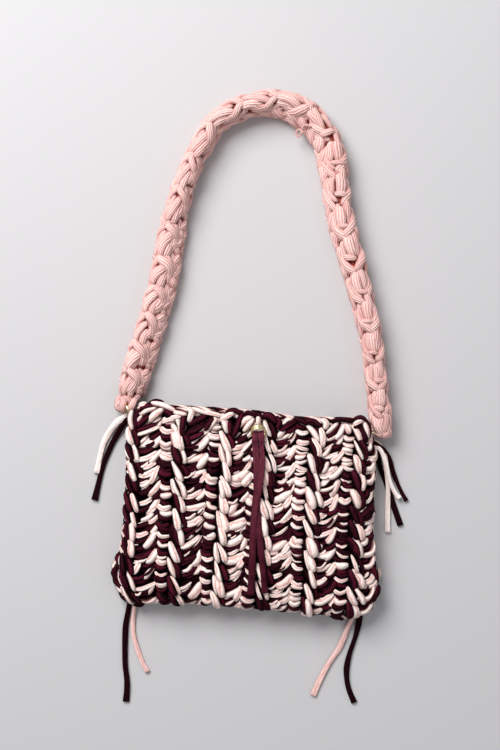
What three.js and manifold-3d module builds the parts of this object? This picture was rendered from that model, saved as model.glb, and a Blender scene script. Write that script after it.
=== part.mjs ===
// A crochet shoulder bag of thick jersey yarn, lying on its back with its strap laid out above it.
// Millimetres: +X to the right of the bag's face, +Y from the pouch towards the strap, +Z up out of the face.
// The origin is on the bag's back, under the middle of the pouch.
import * as THREE from "three";
import { mergeVertices } from "three/addons/utils/BufferGeometryUtils.js";
import Module from "manifold-3d";

const wasm = await Module();
wasm.setup();

// Driving dimensions

const clearance = 0.35; // between pieces that touch

const pouch = {
  thickness: 34, // of the two walls and the space between them, before the stitches' relief
  seamHeight: 15, // the side seams' height over the table
  wall: 10.5, // crochet fabric of two yarns held together
  crown: 4, // exponent of the front's soft pillow shape across the bag
  mouthCrown: 14, // exponent at the mouth, where each lip is only rounded off
  backCrown: 6, // exponent of the back's rounded edges
  backFlat: 1.08, // the back is flat where its crown, this much larger, would pass the table
  cornerDraw: 0.06, // how far the corners are drawn in, as a share of the half size
  cornerSharpness: 8,
  backLip: 2, // the back wall's lip stands this far past the front's
};

// The pouch's outline: its side seams from the mouth (0) to the bottom fold (1)
const sideRows = [
  { down: 0, left: -124, right: 127.5 },
  { down: 0.25, left: -124, right: 127 },
  { down: 0.5, left: -125, right: 125 },
  { down: 0.75, left: -130, right: 127.5 },
  { down: 1, left: -134, right: 131 },
];

// and its mouth and bottom fold from the left seam (0) to the right one (1)
const edgeRows = [
  { across: 0, mouth: 106, fold: -98 },
  { across: 0.25, mouth: 101, fold: -97 },
  { across: 0.5, mouth: 97, fold: -101 },
  { across: 0.75, mouth: 90, fold: -107 },
  { across: 1, mouth: 92, fold: -113 },
];

// Crochet rows run up and down the bag. A repeat of two rows is a ladder of bars,
// a chain of slanting loops and a fan of legs that lean the other way.
const crochet = {
  firstLadder: 0.168, // middle of the first ladder, as a share of the bag's width
  repeat: 0.178, // two rows, as a share of the bag's width
  stitches: 12, // along each row
  stepsPerStitch: 3,
  height: 4, // of the tallest stitches over the creases
  unevenness: 0.9, // from stitch to stitch
  backGroove: 3.2, // depth between the rows on the back, whose rows lie flat on the table
  grooveHalf: 0.014, // half a groove's width, as a share of the bag's width
  backShift: 0.0225, // the back's rows against the front's, as a share of the bag's width
};

// The three columns of a repeat, as shares of it: where each lies, how tall it is
// and how its stitches lean, in stitches across the column
const columnRows = [
  { name: "ladder", from: -0.145, to: 0.145, height: 0.8, lean: 0 },
  { name: "chain", from: 0.145, to: 0.43, height: 1, lean: -0.7 },
  { name: "fan", from: 0.43, to: 0.855, height: 0.85, lean: 0.7 },
];
const pointsPerColumn = [3, 3, 4];

// The space inside, open at the mouth
const inside = { sideWall: 15, foldWall: 15, roundness: 2.6, pastMouth: 14, points: 20, steps: 8 };

// Strap: a crochet band on its edge, which leans out of the loop. Its middle from the left end to the right
// end as seen from above, and how far it leans
const strapRows = [
  { x: -119, y: 108, lean: 42 },
  { x: -115, y: 127, lean: 45 },
  { x: -104, y: 163, lean: 47 },
  { x: -93, y: 199, lean: 46 },
  { x: -84, y: 233, lean: 44 },
  { x: -77, y: 275, lean: 36 },
  { x: -69.5, y: 308, lean: 12 },
  { x: -60, y: 337, lean: 6 },
  { x: -46.5, y: 366, lean: 4 },
  { x: -26, y: 392.5, lean: 6 },
  { x: 16, y: 407, lean: 15 },
  { x: 52, y: 399, lean: 43 },
  { x: 77, y: 374, lean: 49 },
  { x: 85.5, y: 345, lean: 42 },
  { x: 89, y: 318, lean: 32 },
  { x: 94, y: 288, lean: 26 },
  { x: 101, y: 261, lean: 22 },
  { x: 110, y: 228, lean: 14 },
  { x: 117.5, y: 200, lean: 9 },
  { x: 123.5, y: 174, lean: 3 },
  { x: 129, y: 128, lean: 0 },
  { x: 135, y: 73, lean: 0 },
];
const strap = {
  thickness: 20.5,
  height: 30,
  roundness: 3,
  unit: 33, // two rows of the band
  stepsPerUnit: 5,
  points: 12,
  relief: 0.13, // of the section's size
  flatSpot: 1.2, // how far the band's lower edge is pressed flat on the table
  endRounding: [0.72, 0.9, 1], // the section's size over the first steps from each end
};

// Split rings of gold-coloured wire
const ring = { radius: 6.6, wire: 1.15, width: 1.55, sides: 8, steps: 20 };
const strapRings = [
  { name: "strap_ring_left", x: -117.5, y: 100.5, z: 14.5, towardsBag: [0.45, -0.89] },
  { name: "strap_ring_right", x: 126.5, y: 77, z: 14, towardsBag: [-1, 0.06] },
];
const tieRing = { name: "tie_ring", x: 10, y: 77, lift: 1.9 };

// Loose yarn: a flat strand of four sides. Each row is a point on its way and the height of its underside
const strand = { width: 5.6, tieWidth: 7, thickness: 3, stepLength: 9 };
const overStrand = strand.thickness + 0.6; // the underside of a strand that crosses another

const tailTables = {
  tails_top_left: {
    root: { x: -124, y: 91, z: 6, size: [6, 5, 6] },
    strands: [
      [[-123, 92, 6], [-134, 84, 1.5], [-144, 70, 0], [-149, 57, 0], [-154, 33, 0]],
      [[-124, 86, 5], [-134, 71, 0.5], [-142, 55, 0], [-149, 35, 0], [-156, 6, 0]],
    ],
  },
  tails_top_right: {
    root: { x: 128, y: 62, z: 7, size: [4.5, 6.5, 6.5] },
    strands: [
      [[128, 66, 9], [133, 62, 8], [138, 50, 6.5], [141, 31, 5], [142, 14, 2.4], [142, -6, 0], [142, -27, 0]],
      [[128, 62, 4.5], [131, 53, 2], [135, 37, 0], [140, 25, 0], [147, 3, 0], [155, -20, 0]],
      [[129, 63, 12], [137, 58, 9], [144, 46, 2], [148, 33, 0], [154, 18, 0], [161, 5, 0]],
      [[129, 60, 10], [134, 57, 12], [139, 44, 10.5], [143, 27, 6.5], [149, 14, 3.6], [154, 8, 3.6]],
    ],
  },
  tails_bottom_left: {
    root: { x: -118, y: -97, z: 3.8, size: [6, 4, 3.8] },
    strands: [
      [[-120, -98, 3], [-124, -118, 0], [-125, -134, 0], [-125, -160, 0], [-123, -180, 0], [-124, -199, 0]],
      [[-115, -99, 3], [-117, -116, 0], [-116.5, -130, 0], [-113, -144, 0], [-108, -158, 0], [-102, -169, 0]],
    ],
  },
  tails_bottom_right: {
    root: { x: 111, y: -108, z: 3.8, size: [6, 4, 3.8] },
    strands: [
      [[107, -110, 3], [100, -127, 0], [93, -144, 0], [83, -159, 0], [74, -175, 0], [66, -193, 0]],
      [[114, -110, 3], [110, -130, 0], [103, -151, 0], [100, -168, 0], [102, -185, 0], [108, -200, 0]],
    ],
  },
};

// The tie's two ends lie down the bag's face and cross once. The last number is the height over the face
const tie = {
  head: [3.6, 3.2, 2.2],
  clearOfRing: 2 * ring.width + 1.1,
  strands: [
    [[12, 76, 0.6], [13, 70, 4.4], [13.2, 62, 1.5], [13.8, 46, 2], [10.5, 22, 4.2], [7.4, 5, 2],
      [5, -29, 0.6], [2.5, -85, 0.6]],
    [[8, 76, 0.6], [7, 70, 4.4], [7.6, 62, 1.2], [8.4, 46, 0.6], [8.4, 22, 0.6], [9.8, -12, 0.6],
      [13.4, -46, 0.6], [16.6, -80, 0.6]],
  ],
};

const colours = {
  pouch: { color: 0x8a5560, roughness: 0.9, metalness: 0 },
  strap: { color: 0xe3b0a8, roughness: 0.9, metalness: 0 },
  maroon: { color: 0x4b1f2e, roughness: 0.9, metalness: 0 },
  blush: { color: 0xf0d2cb, roughness: 0.9, metalness: 0 },
  gold: { color: 0xd9c48a, roughness: 0.3, metalness: 1 },
};

// Helpers

const lerp = THREE.MathUtils.lerp;
const clamp = THREE.MathUtils.clamp;

// A smooth value between evenly spaced rows of a table, at a share from 0 to 1.
function readRows(rows, column, share) {
  const at = clamp(share, 0, 1) * (rows.length - 1);
  const first = Math.min(Math.floor(at), rows.length - 2);
  const value = (i) => rows[clamp(i, 0, rows.length - 1)][column];
  const t = at - first;
  const [a, b, c, d] = [value(first - 1), value(first), value(first + 1), value(first + 2)];
  return b + 0.5 * t * (c - a + t * (2 * a - 5 * b + 4 * c - d + t * (3 * (b - c) + d - a)));
}

// A number from -1 to 1 that differs from stitch to stitch and is the same in each build.
function uneven(row, stitch) {
  const wave = Math.sin(row * 12.9898 + stitch * 78.233) * 43758.5453;
  return 2 * (wave - Math.floor(wave)) - 1;
}

// One closed geometry from rings of points, each ring the same count, with its two ends capped.
function loft(rings) {
  const count = rings[0].length;
  const faces = [];
  for (let j = 0; j + 1 < rings.length; j++) {
    for (let i = 0; i < count; i++) {
      const next = (i + 1) % count;
      const [a, b] = [j * count + i, j * count + next];
      faces.push(a, b, b + count, a, b + count, a + count);
    }
  }
  const last = (rings.length - 1) * count;
  for (const [a, b, c] of capFaces(rings[0])) faces.push(a, c, b);
  for (const [a, b, c] of capFaces(rings[rings.length - 1])) faces.push(last + a, last + b, last + c);
  const geometry = new THREE.BufferGeometry();
  const numbers = rings.flat().flatMap((p) => p.toArray());
  geometry.setAttribute("position", new THREE.Float32BufferAttribute(numbers, 3));
  geometry.setIndex(faces);
  return geometry;
}

// Triangles that fill a ring, wound the same way round as the ring.
function capFaces(ringPoints) {
  const normal = new THREE.Vector3();
  ringPoints.forEach((p, i) => {
    const q = ringPoints[(i + 1) % ringPoints.length];
    normal.add(new THREE.Vector3().crossVectors(p, q));
  });
  normal.normalize();
  const across = new THREE.Vector3().subVectors(ringPoints[Math.floor(ringPoints.length / 2)], ringPoints[0]);
  across.addScaledVector(normal, -across.dot(normal)).normalize();
  const up = new THREE.Vector3().crossVectors(normal, across);
  const flat = ringPoints.map((p) => new THREE.Vector2(p.dot(across), p.dot(up)));
  return THREE.ShapeUtils.triangulateShape(flat, []).map(([a, b, c]) => {
    const turn = flat[b].clone().sub(flat[a]).cross(flat[c].clone().sub(flat[a]));
    return turn > 0 ? [a, b, c] : [a, c, b];
  });
}

function toSolid(geometry) {
  const bare = new THREE.BufferGeometry().setAttribute("position", geometry.getAttribute("position"));
  bare.setIndex(geometry.index);
  const merged = mergeVertices(bare, 1e-4);
  return new wasm.Manifold(new wasm.Mesh({
    numProp: 3,
    vertProperties: new Float32Array(merged.attributes.position.array),
    triVerts: new Uint32Array(merged.index.array),
  }));
}

function toGeometry(solid) {
  const mesh = solid.getMesh();
  const geometry = new THREE.BufferGeometry();
  const points = new Float32Array(mesh.numVert * 3);
  for (let i = 0; i < mesh.numVert; i++) {
    points.set(mesh.vertProperties.subarray(i * mesh.numProp, i * mesh.numProp + 3), i * 3);
  }
  geometry.setAttribute("position", new THREE.BufferAttribute(points, 3));
  geometry.setIndex([...mesh.triVerts]);
  geometry.computeVertexNormals();
  return geometry;
}

// The pouch

// Place on the table under the share (across, down) of the pouch, with its corners drawn in.
function outline(across, down) {
  const [p, q] = [2 * across - 1, 2 * down - 1];
  const drawnAcross = (1 + p * (1 - pouch.cornerDraw * Math.abs(q) ** pouch.cornerSharpness)) / 2;
  const drawnDown = (1 + q * (1 - pouch.cornerDraw * Math.abs(p) ** pouch.cornerSharpness)) / 2;
  return {
    x: lerp(readRows(sideRows, "left", down), readRows(sideRows, "right", down), drawnAcross),
    y: lerp(readRows(edgeRows, "mouth", across), readRows(edgeRows, "fold", across), drawnDown),
  };
}

const swell = (p, power) => (1 - Math.abs(clamp(p, -1, 1)) ** power) ** (1 / power);

// How much of its full thickness the pouch has at (across, down).
function fullness(across, down, power) {
  const alongPower = down < 0.5 ? pouch.mouthCrown : power;
  return swell(2 * across - 1, power) * swell(2 * down - 1, alongPower);
}

function frontPoint(across, down) {
  const { x, y } = outline(across, down);
  const rise = pouch.thickness - pouch.seamHeight;
  return new THREE.Vector3(x, y, pouch.seamHeight + rise * fullness(across, down, pouch.crown));
}

function backPoint(across, down) {
  const { x, y } = outline(across, down);
  const lip = pouch.backLip * clamp(1 - down / 0.12, 0, 1) * swell(2 * across - 1, pouch.backCrown);
  const full = Math.min(pouch.backFlat * fullness(across, down, pouch.backCrown), 1);
  return new THREE.Vector3(x, y + lip, pouch.seamHeight * (1 - full));
}

// The column of the repeat that a place across the bag is in, and where it lies in it, from -1 to 1.
function columnAt(across) {
  const repeats = (across - crochet.firstLadder) / crochet.repeat;
  const row = Math.floor(repeats - columnRows[0].from);
  const share = repeats - row;
  const index = columnRows.findIndex((c) => share < c.to + 1e-9);
  const column = columnRows[index < 0 ? columnRows.length - 1 : index];
  const middle = (column.from + column.to) / 2;
  return { row, column, off: (2 * (share - middle)) / (column.to - column.from) };
}

// Height of the stitches over the creases between them.
function relief(across, down) {
  const { row, column, off } = columnAt(across);
  const along = down * crochet.stitches + (column.lean * off) / 2;
  const bump = Math.abs(Math.sin(Math.PI * along)) ** 0.7;
  const lobe = Math.cos((Math.PI / 2) * clamp(off, -1, 1)) ** 0.7;
  const size = crochet.height + crochet.unevenness * uneven(row, Math.floor(along));
  return column.height * size * lobe * (0.4 + 0.6 * bump);
}

// Shares across the bag where the front's columns are sampled: the creases and the points between them.
function frontSamples() {
  const rim = [0, 0.0015, 0.008, 0.022];
  const samples = [];
  for (let row = -1; row <= 1 / crochet.repeat; row++) {
    columnRows.forEach((column, c) => {
      for (let i = 0; i < pointsPerColumn[c]; i++) {
        const share = lerp(column.from, column.to, i / pointsPerColumn[c]);
        samples.push(crochet.firstLadder + crochet.repeat * (row + share));
      }
    });
  }
  const [low, high] = [rim[rim.length - 1] + 0.008, 1 - rim[rim.length - 1] - 0.008];
  return [...rim, ...samples.filter((s) => s > low && s < high), ...rim.map((r) => 1 - r).reverse()];
}

// The back's samples are the grooves between the rows and the flat strips beside them.
function backSamples() {
  const rim = [0.002, 0.012, 0.035];
  const samples = [];
  const first = crochet.firstLadder + crochet.backShift - crochet.repeat / 2;
  for (let groove = first; groove < 1; groove += crochet.repeat / 2) {
    samples.push({ at: groove - crochet.grooveHalf, depth: 0 });
    samples.push({ at: groove, depth: crochet.backGroove });
    samples.push({ at: groove + crochet.grooveHalf, depth: 0 });
  }
  const inner = samples.filter((s) => s.at > 0.06 && s.at < 0.94);
  const ends = (list) => list.map((at) => ({ at, depth: 0 }));
  return [...ends(rim), ...inner, ...ends(rim.map((r) => 1 - r).reverse())];
}

function downSamples() {
  const rim = [0.0005, 0.006, 0.02];
  const steps = crochet.stitches * crochet.stepsPerStitch;
  const even = Array.from({ length: steps - 1 }, (_, i) => (i + 1) / steps);
  const [low, high] = [rim[rim.length - 1] + 0.01, 1 - rim[rim.length - 1] - 0.01];
  return [...rim, ...even.filter((s) => s > low && s < high), ...rim.map((r) => 1 - r).reverse()];
}

// The outward direction of the front, from the places beside it.
function frontNormal(across, down) {
  const step = 0.004;
  const right = frontPoint(Math.min(across + step, 1), down).sub(frontPoint(Math.max(across - step, 0), down));
  const up = frontPoint(across, Math.max(down - step, 0)).sub(frontPoint(across, Math.min(down + step, 1)));
  return right.cross(up).normalize();
}

// The pouch's outer form, swollen by extra on every side.
function pouchOuter(extra = 0) {
  const wider = (across, down) => new THREE.Vector3(2 * across - 1, 1 - 2 * down, 0).multiplyScalar(extra);
  const rings = downSamples().reverse().map((down) => {
    const front = frontSamples().map((across) => {
      const fade = clamp(6 * Math.min(down, 1 - down) + 0.4, 0, 1);
      const point = frontPoint(across, down).add(wider(across, down));
      return point.addScaledVector(frontNormal(across, down), relief(across, down) * fade + extra);
    });
    const back = backSamples().reverse().map(({ at, depth }) => {
      const point = backPoint(at, down).add(wider(at, down));
      const room = Math.max(pouch.seamHeight - point.z, 0) / pouch.seamHeight;
      return point.setZ(point.z + depth * room - extra);
    });
    return [...front, ...back];
  });
  return toSolid(loft(rings));
}

// The space inside the pouch: a flat, soft-edged bag shape that runs out through the mouth.
function pouchInside() {
  const width = sideRows[0].right - sideRows[0].left;
  const length = edgeRows[0].mouth - edgeRows[0].fold;
  const rings = Array.from({ length: inside.steps + 1 }, (_, step) => {
    const down = lerp(1 - inside.foldWall / length, -inside.pastMouth / length, step / inside.steps);
    const close = swell(clamp(down, 0, 1) / (1 - inside.foldWall / length) * 0.98, inside.roundness * 2);
    const edge = inside.sideWall / width;
    return Array.from({ length: inside.points }, (_, i) => {
      const turn = (2 * Math.PI * i) / inside.points;
      const soft = (v) => Math.sign(v) * Math.abs(v) ** (2 / inside.roundness);
      const across = lerp(edge, 1 - edge, (1 - soft(Math.cos(turn))) / 2);
      const place = outline(across, clamp(down, 0, 1));
      const past = Math.min(down, 0) * length;
      const low = pouch.wall;
      const high = frontPoint(across, clamp(down, 0.1, 0.9)).z - pouch.wall + crochet.height / 2;
      const middle = (low + high) / 2;
      const half = Math.max(high - low, 1) / 2;
      return new THREE.Vector3(place.x, place.y - past, middle + half * close * soft(Math.sin(turn)));
    });
  });
  return toSolid(loft(rings));
}

// Strap

const strapPlaces = strapRows.map((row) => new THREE.Vector3(row.x, row.y, 0));
const strapRoute = new THREE.CatmullRomCurve3(strapPlaces, false, "centripetal");

// Raised loops of the band: a leaf down the middle of its edge and legs on its sides, two rows to the unit.
function strapRelief(turn, share) {
  const onEdge = Math.abs(Math.sin(turn)) ** 2;
  const leaf = Math.abs(Math.sin(Math.PI * share)) ** 0.8;
  const legs = Math.abs(Math.cos(Math.PI * share)) ** 0.8;
  return strap.relief * (onEdge * leaf + (1 - onEdge) * legs - 0.7);
}

// One section of the band: a soft rectangle on its edge, leaned out and set down on the table.
function strapSection(share, size) {
  const t = strapRoute.getUtoTmapping(share);
  const place = strapRoute.getPoint(t);
  const along = strapRoute.getTangent(t);
  const out = new THREE.Vector3(-along.y, along.x, 0).normalize();
  const lean = THREE.MathUtils.degToRad(readRows(strapRows, "lean", t));
  const units = (share * strapRoute.getLength()) / strap.unit;
  const soft = (v) => Math.sign(v) * Math.abs(v) ** (2 / strap.roundness);
  const section = Array.from({ length: strap.points }, (_, i) => {
    const turn = (2 * Math.PI * (i + 0.5)) / strap.points;
    const swollen = size * (1 + strapRelief(turn, units));
    const p = (strap.thickness / 2) * soft(Math.cos(turn)) * swollen;
    const q = (strap.height / 2) * soft(Math.sin(turn)) * swollen;
    return { p: p * Math.cos(lean) + q * Math.sin(lean), q: q * Math.cos(lean) - p * Math.sin(lean) };
  });
  const lowest = Math.min(...section.map((s) => s.q)) * (1 / size);
  const middle = (Math.min(...section.map((s) => s.p)) + Math.max(...section.map((s) => s.p))) / 2;
  return section.map(({ p, q }) => {
    const up = Math.max(q - lowest - strap.flatSpot, 0);
    return place.clone().addScaledVector(out, p - middle).setZ(up);
  });
}

function strapSolid() {
  const length = strapRoute.getLength();
  const steps = Math.round((length / strap.unit) * strap.stepsPerUnit);
  const rounding = strap.endRounding;
  const rings = Array.from({ length: steps + 1 }, (_, i) => {
    const fromEnd = Math.min(i, steps - i);
    return strapSection(i / steps, rounding[Math.min(fromEnd, rounding.length - 1)]);
  });
  return toSolid(loft(rings));
}

// Rings

// A ring of flattened wire about the given axis.
function ringSolid(x, y, z, axis, extra = 0) {
  const geometry = new THREE.TorusGeometry(ring.radius, ring.wire + extra, ring.sides, ring.steps);
  geometry.scale(1, 1, (ring.width + extra) / (ring.wire + extra));
  const turn = new THREE.Quaternion().setFromUnitVectors(new THREE.Vector3(0, 0, 1), axis);
  geometry.applyQuaternion(turn).translate(x, y, z);
  return toSolid(geometry);
}

// A strap ring stands on edge, in line with the strap and the bag's corner.
function strapRingSolid(row, extra = 0) {
  const [dx, dy] = row.towardsBag;
  return ringSolid(row.x, row.y, row.z, new THREE.Vector3(-dy, dx, 0).normalize(), extra);
}

// Loose yarn

// A flat strand along a smooth way through its points, level across its width.
function strandSolid(points, width) {
  const way = new THREE.CatmullRomCurve3(points, false, "centripetal");
  const steps = Math.max(4, Math.round(way.getLength() / strand.stepLength));
  const rings = Array.from({ length: steps + 1 }, (_, i) => {
    const place = way.getPointAt(i / steps);
    const along = way.getTangentAt(i / steps);
    const across = new THREE.Vector3(along.y, -along.x, 0).normalize();
    return [[-1, 0], [-1, 1], [1, 1], [1, 0]].map(([side, top]) => {
      const corner = place.clone().addScaledVector(across, (side * width) / 2);
      return corner.setZ(Math.max(place.z, 0) + top * strand.thickness);
    });
  });
  return toSolid(loft(rings));
}

// A rounded bead of yarn, the root that strands grow from.
function rootSolid(x, y, z, size) {
  const geometry = new THREE.SphereGeometry(1, 10, 6).scale(...size).translate(x, y, z);
  return toSolid(geometry);
}

function tailSolid({ root, strands }, pouchClear, ringsClear) {
  const beads = rootSolid(root.x, root.y, root.z, root.size);
  const joined = strands.reduce((solid, points) => {
    const way = points.map(([x, y, z]) => new THREE.Vector3(x, y, z));
    return solid.add(strandSolid(way, strand.width));
  }, beads);
  return joined.subtract(pouchClear).subtract(ringsClear);
}

// The place across and down the bag that lies over a point of the table.
function placeOver(x, y) {
  let [across, down] = [0.5, 0.5];
  for (let pass = 0; pass < 6; pass++) {
    const [left, right] = ["left", "right"].map((side) => readRows(sideRows, side, down));
    across = clamp((x - left) / (right - left), 0, 1);
    const [mouth, fold] = ["mouth", "fold"].map((edge) => readRows(edgeRows, edge, across));
    down = clamp((mouth - y) / (mouth - fold), 0, 1);
  }
  return { across, down };
}

// Height of the stitches' tops over a point of the table.
function faceHeight(x, y) {
  const { across, down } = placeOver(x, y);
  return frontPoint(across, down).z + crochet.height + crochet.unevenness;
}

const tieRingHeight = faceHeight(tieRing.x, tieRing.y) + tieRing.lift;

function tieSolid(ringClear) {
  const head = rootSolid(tieRing.x, tieRing.y, tieRingHeight, tie.head);
  return tie.strands.reduce((solid, points) => {
    const way = points.map(([x, y, over]) => new THREE.Vector3(x, y, faceHeight(x, y) + over));
    return solid.add(strandSolid(way, strand.tieWidth));
  }, head).subtract(ringClear);
}

// The whole bag

const bag = new THREE.Group();

function addPiece(name, solid, finish) {
  const mesh = new THREE.Mesh(toGeometry(solid), new THREE.MeshStandardMaterial(finish));
  mesh.name = name;
  bag.add(mesh);
}

const ringsClear = strapRings.map((row) => strapRingSolid(row, clearance)).reduce((a, b) => a.add(b));
const pouchClear = pouchOuter(clearance);
const faceUp = new THREE.Vector3(0, 0, 1);

addPiece("pouch", pouchOuter().subtract(pouchInside()).subtract(ringsClear), colours.pouch);
addPiece("strap", strapSolid().subtract(pouchClear).subtract(ringsClear), colours.strap);
for (const row of strapRings) addPiece(row.name, strapRingSolid(row), colours.gold);
addPiece(tieRing.name, ringSolid(tieRing.x, tieRing.y, tieRingHeight, faceUp), colours.gold);
addPiece("tie", tieSolid(ringSolid(tieRing.x, tieRing.y, tieRingHeight, faceUp, clearance)), colours.maroon);
for (const [name, table] of Object.entries(tailTables)) {
  addPiece(name, tailSolid(table, pouchClear, ringsClear), colours.blush);
}

export default bag;
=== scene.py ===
import bpy
import numpy as np
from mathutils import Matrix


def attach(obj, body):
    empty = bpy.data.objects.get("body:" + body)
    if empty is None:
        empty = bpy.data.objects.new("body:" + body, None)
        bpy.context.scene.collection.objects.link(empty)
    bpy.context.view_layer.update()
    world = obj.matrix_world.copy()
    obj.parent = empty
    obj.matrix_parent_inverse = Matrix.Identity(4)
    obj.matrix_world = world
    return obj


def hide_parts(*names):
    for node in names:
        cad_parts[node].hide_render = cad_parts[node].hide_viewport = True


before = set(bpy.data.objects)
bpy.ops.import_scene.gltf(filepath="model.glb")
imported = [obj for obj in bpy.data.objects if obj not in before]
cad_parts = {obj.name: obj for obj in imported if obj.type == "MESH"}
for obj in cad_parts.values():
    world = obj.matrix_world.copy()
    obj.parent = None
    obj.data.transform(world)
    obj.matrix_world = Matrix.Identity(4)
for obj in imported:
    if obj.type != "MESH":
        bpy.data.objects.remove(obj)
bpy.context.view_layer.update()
mm = 0.001
fineSteps = 2000  # steps of a table of lengths, fine enough for a tenth of a millimetre


# Colours are sRGB hex; this gives Blender's linear values.
def toLinear(hexColour):
    part = np.array([int(hexColour[i:i + 2], 16) for i in (1, 3, 5)]) / 255
    linear = np.where(part <= 0.04045, part / 12.92, ((part + 0.055) / 1.055) ** 2.4)
    return (*linear.tolist(), 1.0)


# Adds a node, sets its settings, and links or sets its inputs.
def addNode(tree, kind, settings=None, inputs=None):
    node = tree.nodes.new(kind)
    for key, value in (settings or {}).items():
        setattr(node, key, value)
    for key, value in (inputs or {}).items():
        if isinstance(value, bpy.types.NodeSocket):
            tree.links.new(value, node.inputs[key])
        else:
            node.inputs[key].default_value = value
    return node


# Smooth value at a share from 0 to 1 of evenly spaced table values: a cubic through each four neighbours.
def readRows(values, share):
    v = np.asarray(values, float)
    at = np.clip(share, 0, 1) * (len(v) - 1)
    i = np.minimum(at.astype(int), len(v) - 2)
    t = at - i
    a, b, c, d = (v[np.clip(i + k, 0, len(v) - 1)] for k in (-1, 0, 1, 2))
    return b + 0.5 * t * (c - a + t * (2 * a - 5 * b + 4 * c - d + t * (3 * (b - c) + d - a)))


# Matrix that turns a few control rows into a smooth way of many steps, by the same cubic.
def wayMatrix(rows, steps):
    return np.stack([readRows(np.eye(rows)[k], np.linspace(0, 1, steps)) for k in range(rows)], axis=1)


# Vectors scaled to length one.
def unit(v):
    return v / np.maximum(np.linalg.norm(v, axis=-1, keepdims=True), 1e-12)


# Soft square curve: the height left at p on a superellipse of the given power.
def swell(p, power):
    return (1 - np.abs(np.clip(p, -1, 1)) ** power) ** (1 / power)


# A yarn's cross-section: point = radius * (cos turn, sin turn), and the radius dips by the depth in each
# furrow, where the knit fabric is rolled.
def yarnSection(sides, furrows=0, depth=0.0):
    turn = np.arange(sides) * 2 * np.pi / sides
    radius = 1 - depth * (0.5 + 0.5 * np.cos(furrows * (turn - np.pi / 2))) if furrows else np.ones(sides)
    return np.stack([radius * np.cos(turn), radius * np.sin(turn)], axis=1)


# Carries the section along each way: side = along x up, point = way + wide * side + high * top.
# Ways and ups are (strand, step, 3), sizes are (strand, step). Gives points as (strand, step, side, 3).
def sweep(way, up, wide, high, section):
    along = unit(np.gradient(way, axis=1))
    side = unit(np.cross(along, up))
    top = np.cross(side, along)
    across = wide[..., None, None] * section[:, 0, None] * side[:, :, None, :]
    return way[:, :, None, :] + across + high[..., None, None] * section[:, 1, None] * top[:, :, None, :]


# Faces of one swept strand: a grid that closes round the section, and a fan over each end.
def strandFaces(steps, sides):
    j, i = np.meshgrid(np.arange(steps - 1), np.arange(sides), indexing="ij")
    a, b = j * sides + i, j * sides + (i + 1) % sides
    quads = np.stack([a, a + sides, b + sides, b], axis=-1).reshape(-1, 4)
    k = np.arange(sides)
    first, last, end = steps * sides, steps * sides + 1, (steps - 1) * sides
    fans = [np.stack([np.full(sides, first), k, (k + 1) % sides], axis=1)]
    fans.append(np.stack([np.full(sides, last), end + (k + 1) % sides, end + k], axis=1))
    return quads, np.concatenate(fans)


# Places round (0 to 1) and along (in centimetres) the yarn for each corner of its faces.
def strandCorners(points, shift):
    count, steps, sides, _ = points.shape
    step = np.linalg.norm(np.diff(points.mean(axis=2), axis=1), axis=2) / (10 * mm)
    length = np.concatenate([np.zeros((count, 1)), np.cumsum(step, axis=1)], axis=1) + shift[:, None]

    def corners(turns, rows):  # the same for every strand, apart from its lengths
        turn, row = (np.stack(part, axis=-1).reshape(-1) for part in (turns, rows))
        return np.stack([np.broadcast_to(turn / sides, (count, turn.size)), length[:, row]], axis=-1)

    j, i = np.meshgrid(np.arange(steps - 1), np.arange(sides), indexing="ij")
    k = np.arange(sides)
    first, last = np.zeros(sides, int), np.full(sides, steps - 1)
    starts = corners([k + 0.5, k, k + 1], [first] * 3)
    stops = corners([k + 0.5, k + 1, k], [last] * 3)
    return corners([i, i, i + 1, i + 1], [j, j + 1, j + 1, j]), np.concatenate([starts, stops], axis=1)


# One object of many swept strands. Each group is an array of points as sweep gives it, in metres.
def yarnObject(name, groups, material, seed):
    rng = np.random.default_rng(seed)
    places, quads, fans, quadUv, fanUv, tones = [], [], [], [], [], []
    base = 0
    for points in groups:
        count, steps, sides, _ = points.shape
        ends = np.stack([points[:, 0].mean(axis=1), points[:, -1].mean(axis=1)], axis=1)
        block = np.concatenate([points.reshape(count, steps * sides, 3), ends], axis=1)
        offset = base + np.arange(count)[:, None, None] * block.shape[1]
        quad, fan = strandFaces(steps, sides)
        quads.append((quad[None] + offset).reshape(-1, 4))
        fans.append((fan[None] + offset).reshape(-1, 3))
        q, f = strandCorners(points, rng.uniform(0, 50, count))  # each strand's lines start elsewhere, in cm
        quadUv.append(q.reshape(-1, 2))
        fanUv.append(f.reshape(-1, 2))
        tones.append(np.repeat(rng.uniform(0, 1, count), block.shape[1]))
        places.append(block.reshape(-1, 3))
        base += block.shape[0] * block.shape[1]
    return meshObject(name, np.concatenate(places), np.concatenate(quads), np.concatenate(fans), material,
                      uv=np.concatenate(quadUv + fanUv), tone=np.concatenate(tones))


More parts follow.
